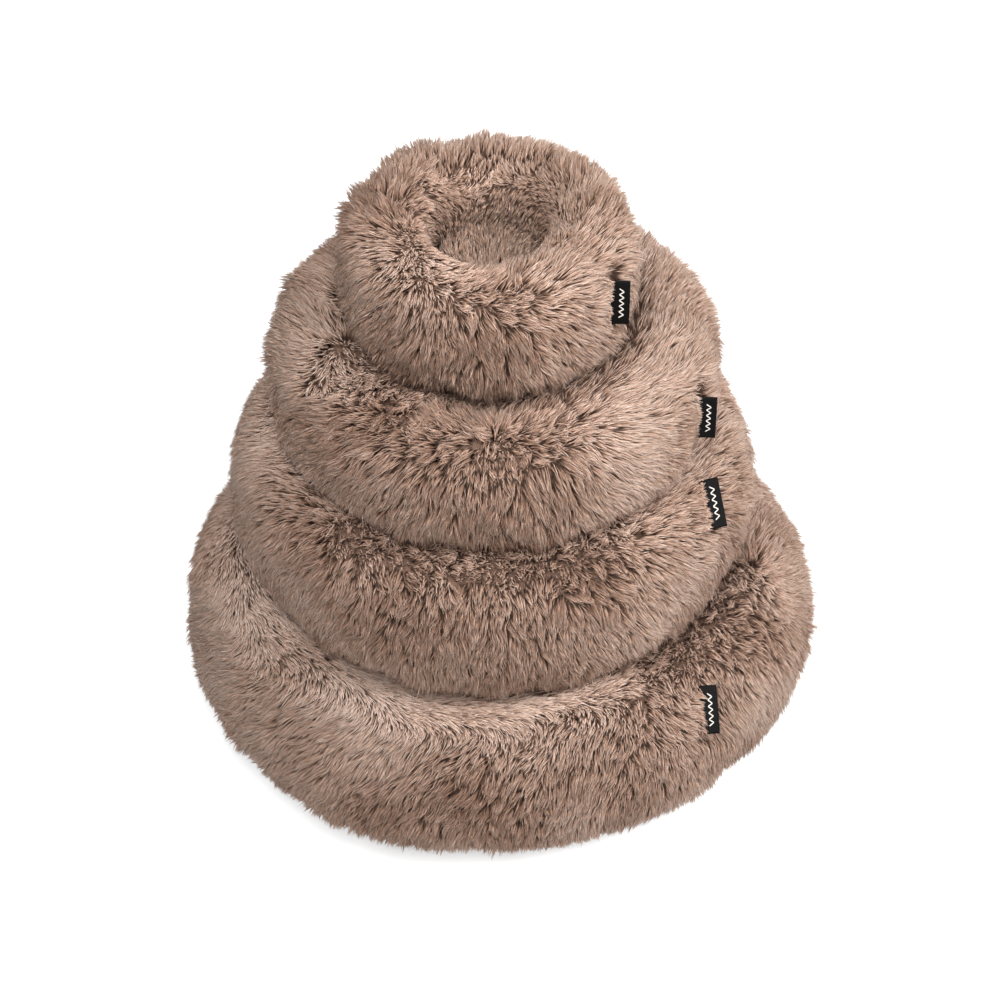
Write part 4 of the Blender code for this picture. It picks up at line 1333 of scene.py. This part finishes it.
# %% Light the studio
FLOOR_SIZE = 14.0
FLOOR_GLOW = 0.5
WORLD_LIGHT = 0.27
LAMPS = (
    ("key", (-0.3, -2.0, 3.2), 1.8, 150.0),
    ("side", (2.6, -1.0, 2.3), 1.6, 119.0),
    ("back", (0.3, 3.0, 1.3), 2.0, 60.0),
)

floor_data = bpy.data.meshes.new("floor")
half = FLOOR_SIZE / 2
corners = [(-half, -half, 0), (half, -half, 0), (half, half, 0), (-half, half, 0)]
floor_data.from_pydata(corners, [], [(0, 1, 2, 3)])
floor = bpy.data.objects.new("floor", floor_data)
bpy.context.scene.collection.objects.link(floor)
floor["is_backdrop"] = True
floor_finish, tree, shader = new_material("white studio floor", Base_Color=colour("#cfcfcf"), Roughness=0.9)
path = add_node(tree, "ShaderNodeLightPath")
glow = add_node(tree, "ShaderNodeMath", operation="MULTIPLY", in_1=FLOOR_GLOW,
                links=[(0, path.outputs["Is Camera Ray"])])
shader.inputs["Emission Color"].default_value = colour("#ffffff")
tree.links.new(shader.inputs["Emission Strength"], glow.outputs[0])
floor_data.materials.append(floor_finish)

world = bpy.data.worlds.new("studio")
bpy.context.scene.world = world
world.use_nodes = True
tree = world.node_tree
sky = tree.nodes["Background"]
path = add_node(tree, "ShaderNodeLightPath")
seen = add_node(tree, "ShaderNodeMath", operation="MAXIMUM",
                links=[(0, path.outputs["Is Camera Ray"]), (1, path.outputs["Is Glossy Ray"])])
seen = add_node(tree, "ShaderNodeMath", operation="MAXIMUM",
                links=[(0, seen.outputs[0]), (1, path.outputs["Is Transmission Ray"])])
strength = add_node(tree, "ShaderNodeMapRange", in_3=WORLD_LIGHT, in_4=1.0, links=[(0, seen.outputs[0])])
tree.links.new(sky.inputs["Strength"], strength.outputs[0])
sky.inputs["Color"].default_value = colour("#ffffff")


def add_lamp(name, place, size, power):
    """A square soft box that points at the middle of the stack."""
    data = bpy.data.lights.new(name, "AREA")
    data.size = size
    data.energy = power
    lamp = bpy.data.objects.new(name, data)
    bpy.context.scene.collection.objects.link(lamp)
    lamp.location = place
    lamp.rotation_euler = (AIM - lamp.location).to_track_quat("-Z", "Y").to_euler()


for lamp_settings in LAMPS:
    add_lamp(*lamp_settings)

bpy.context.scene.view_settings.view_transform = "Standard"

# %% Measure the bounds of the shown pieces
low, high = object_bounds()
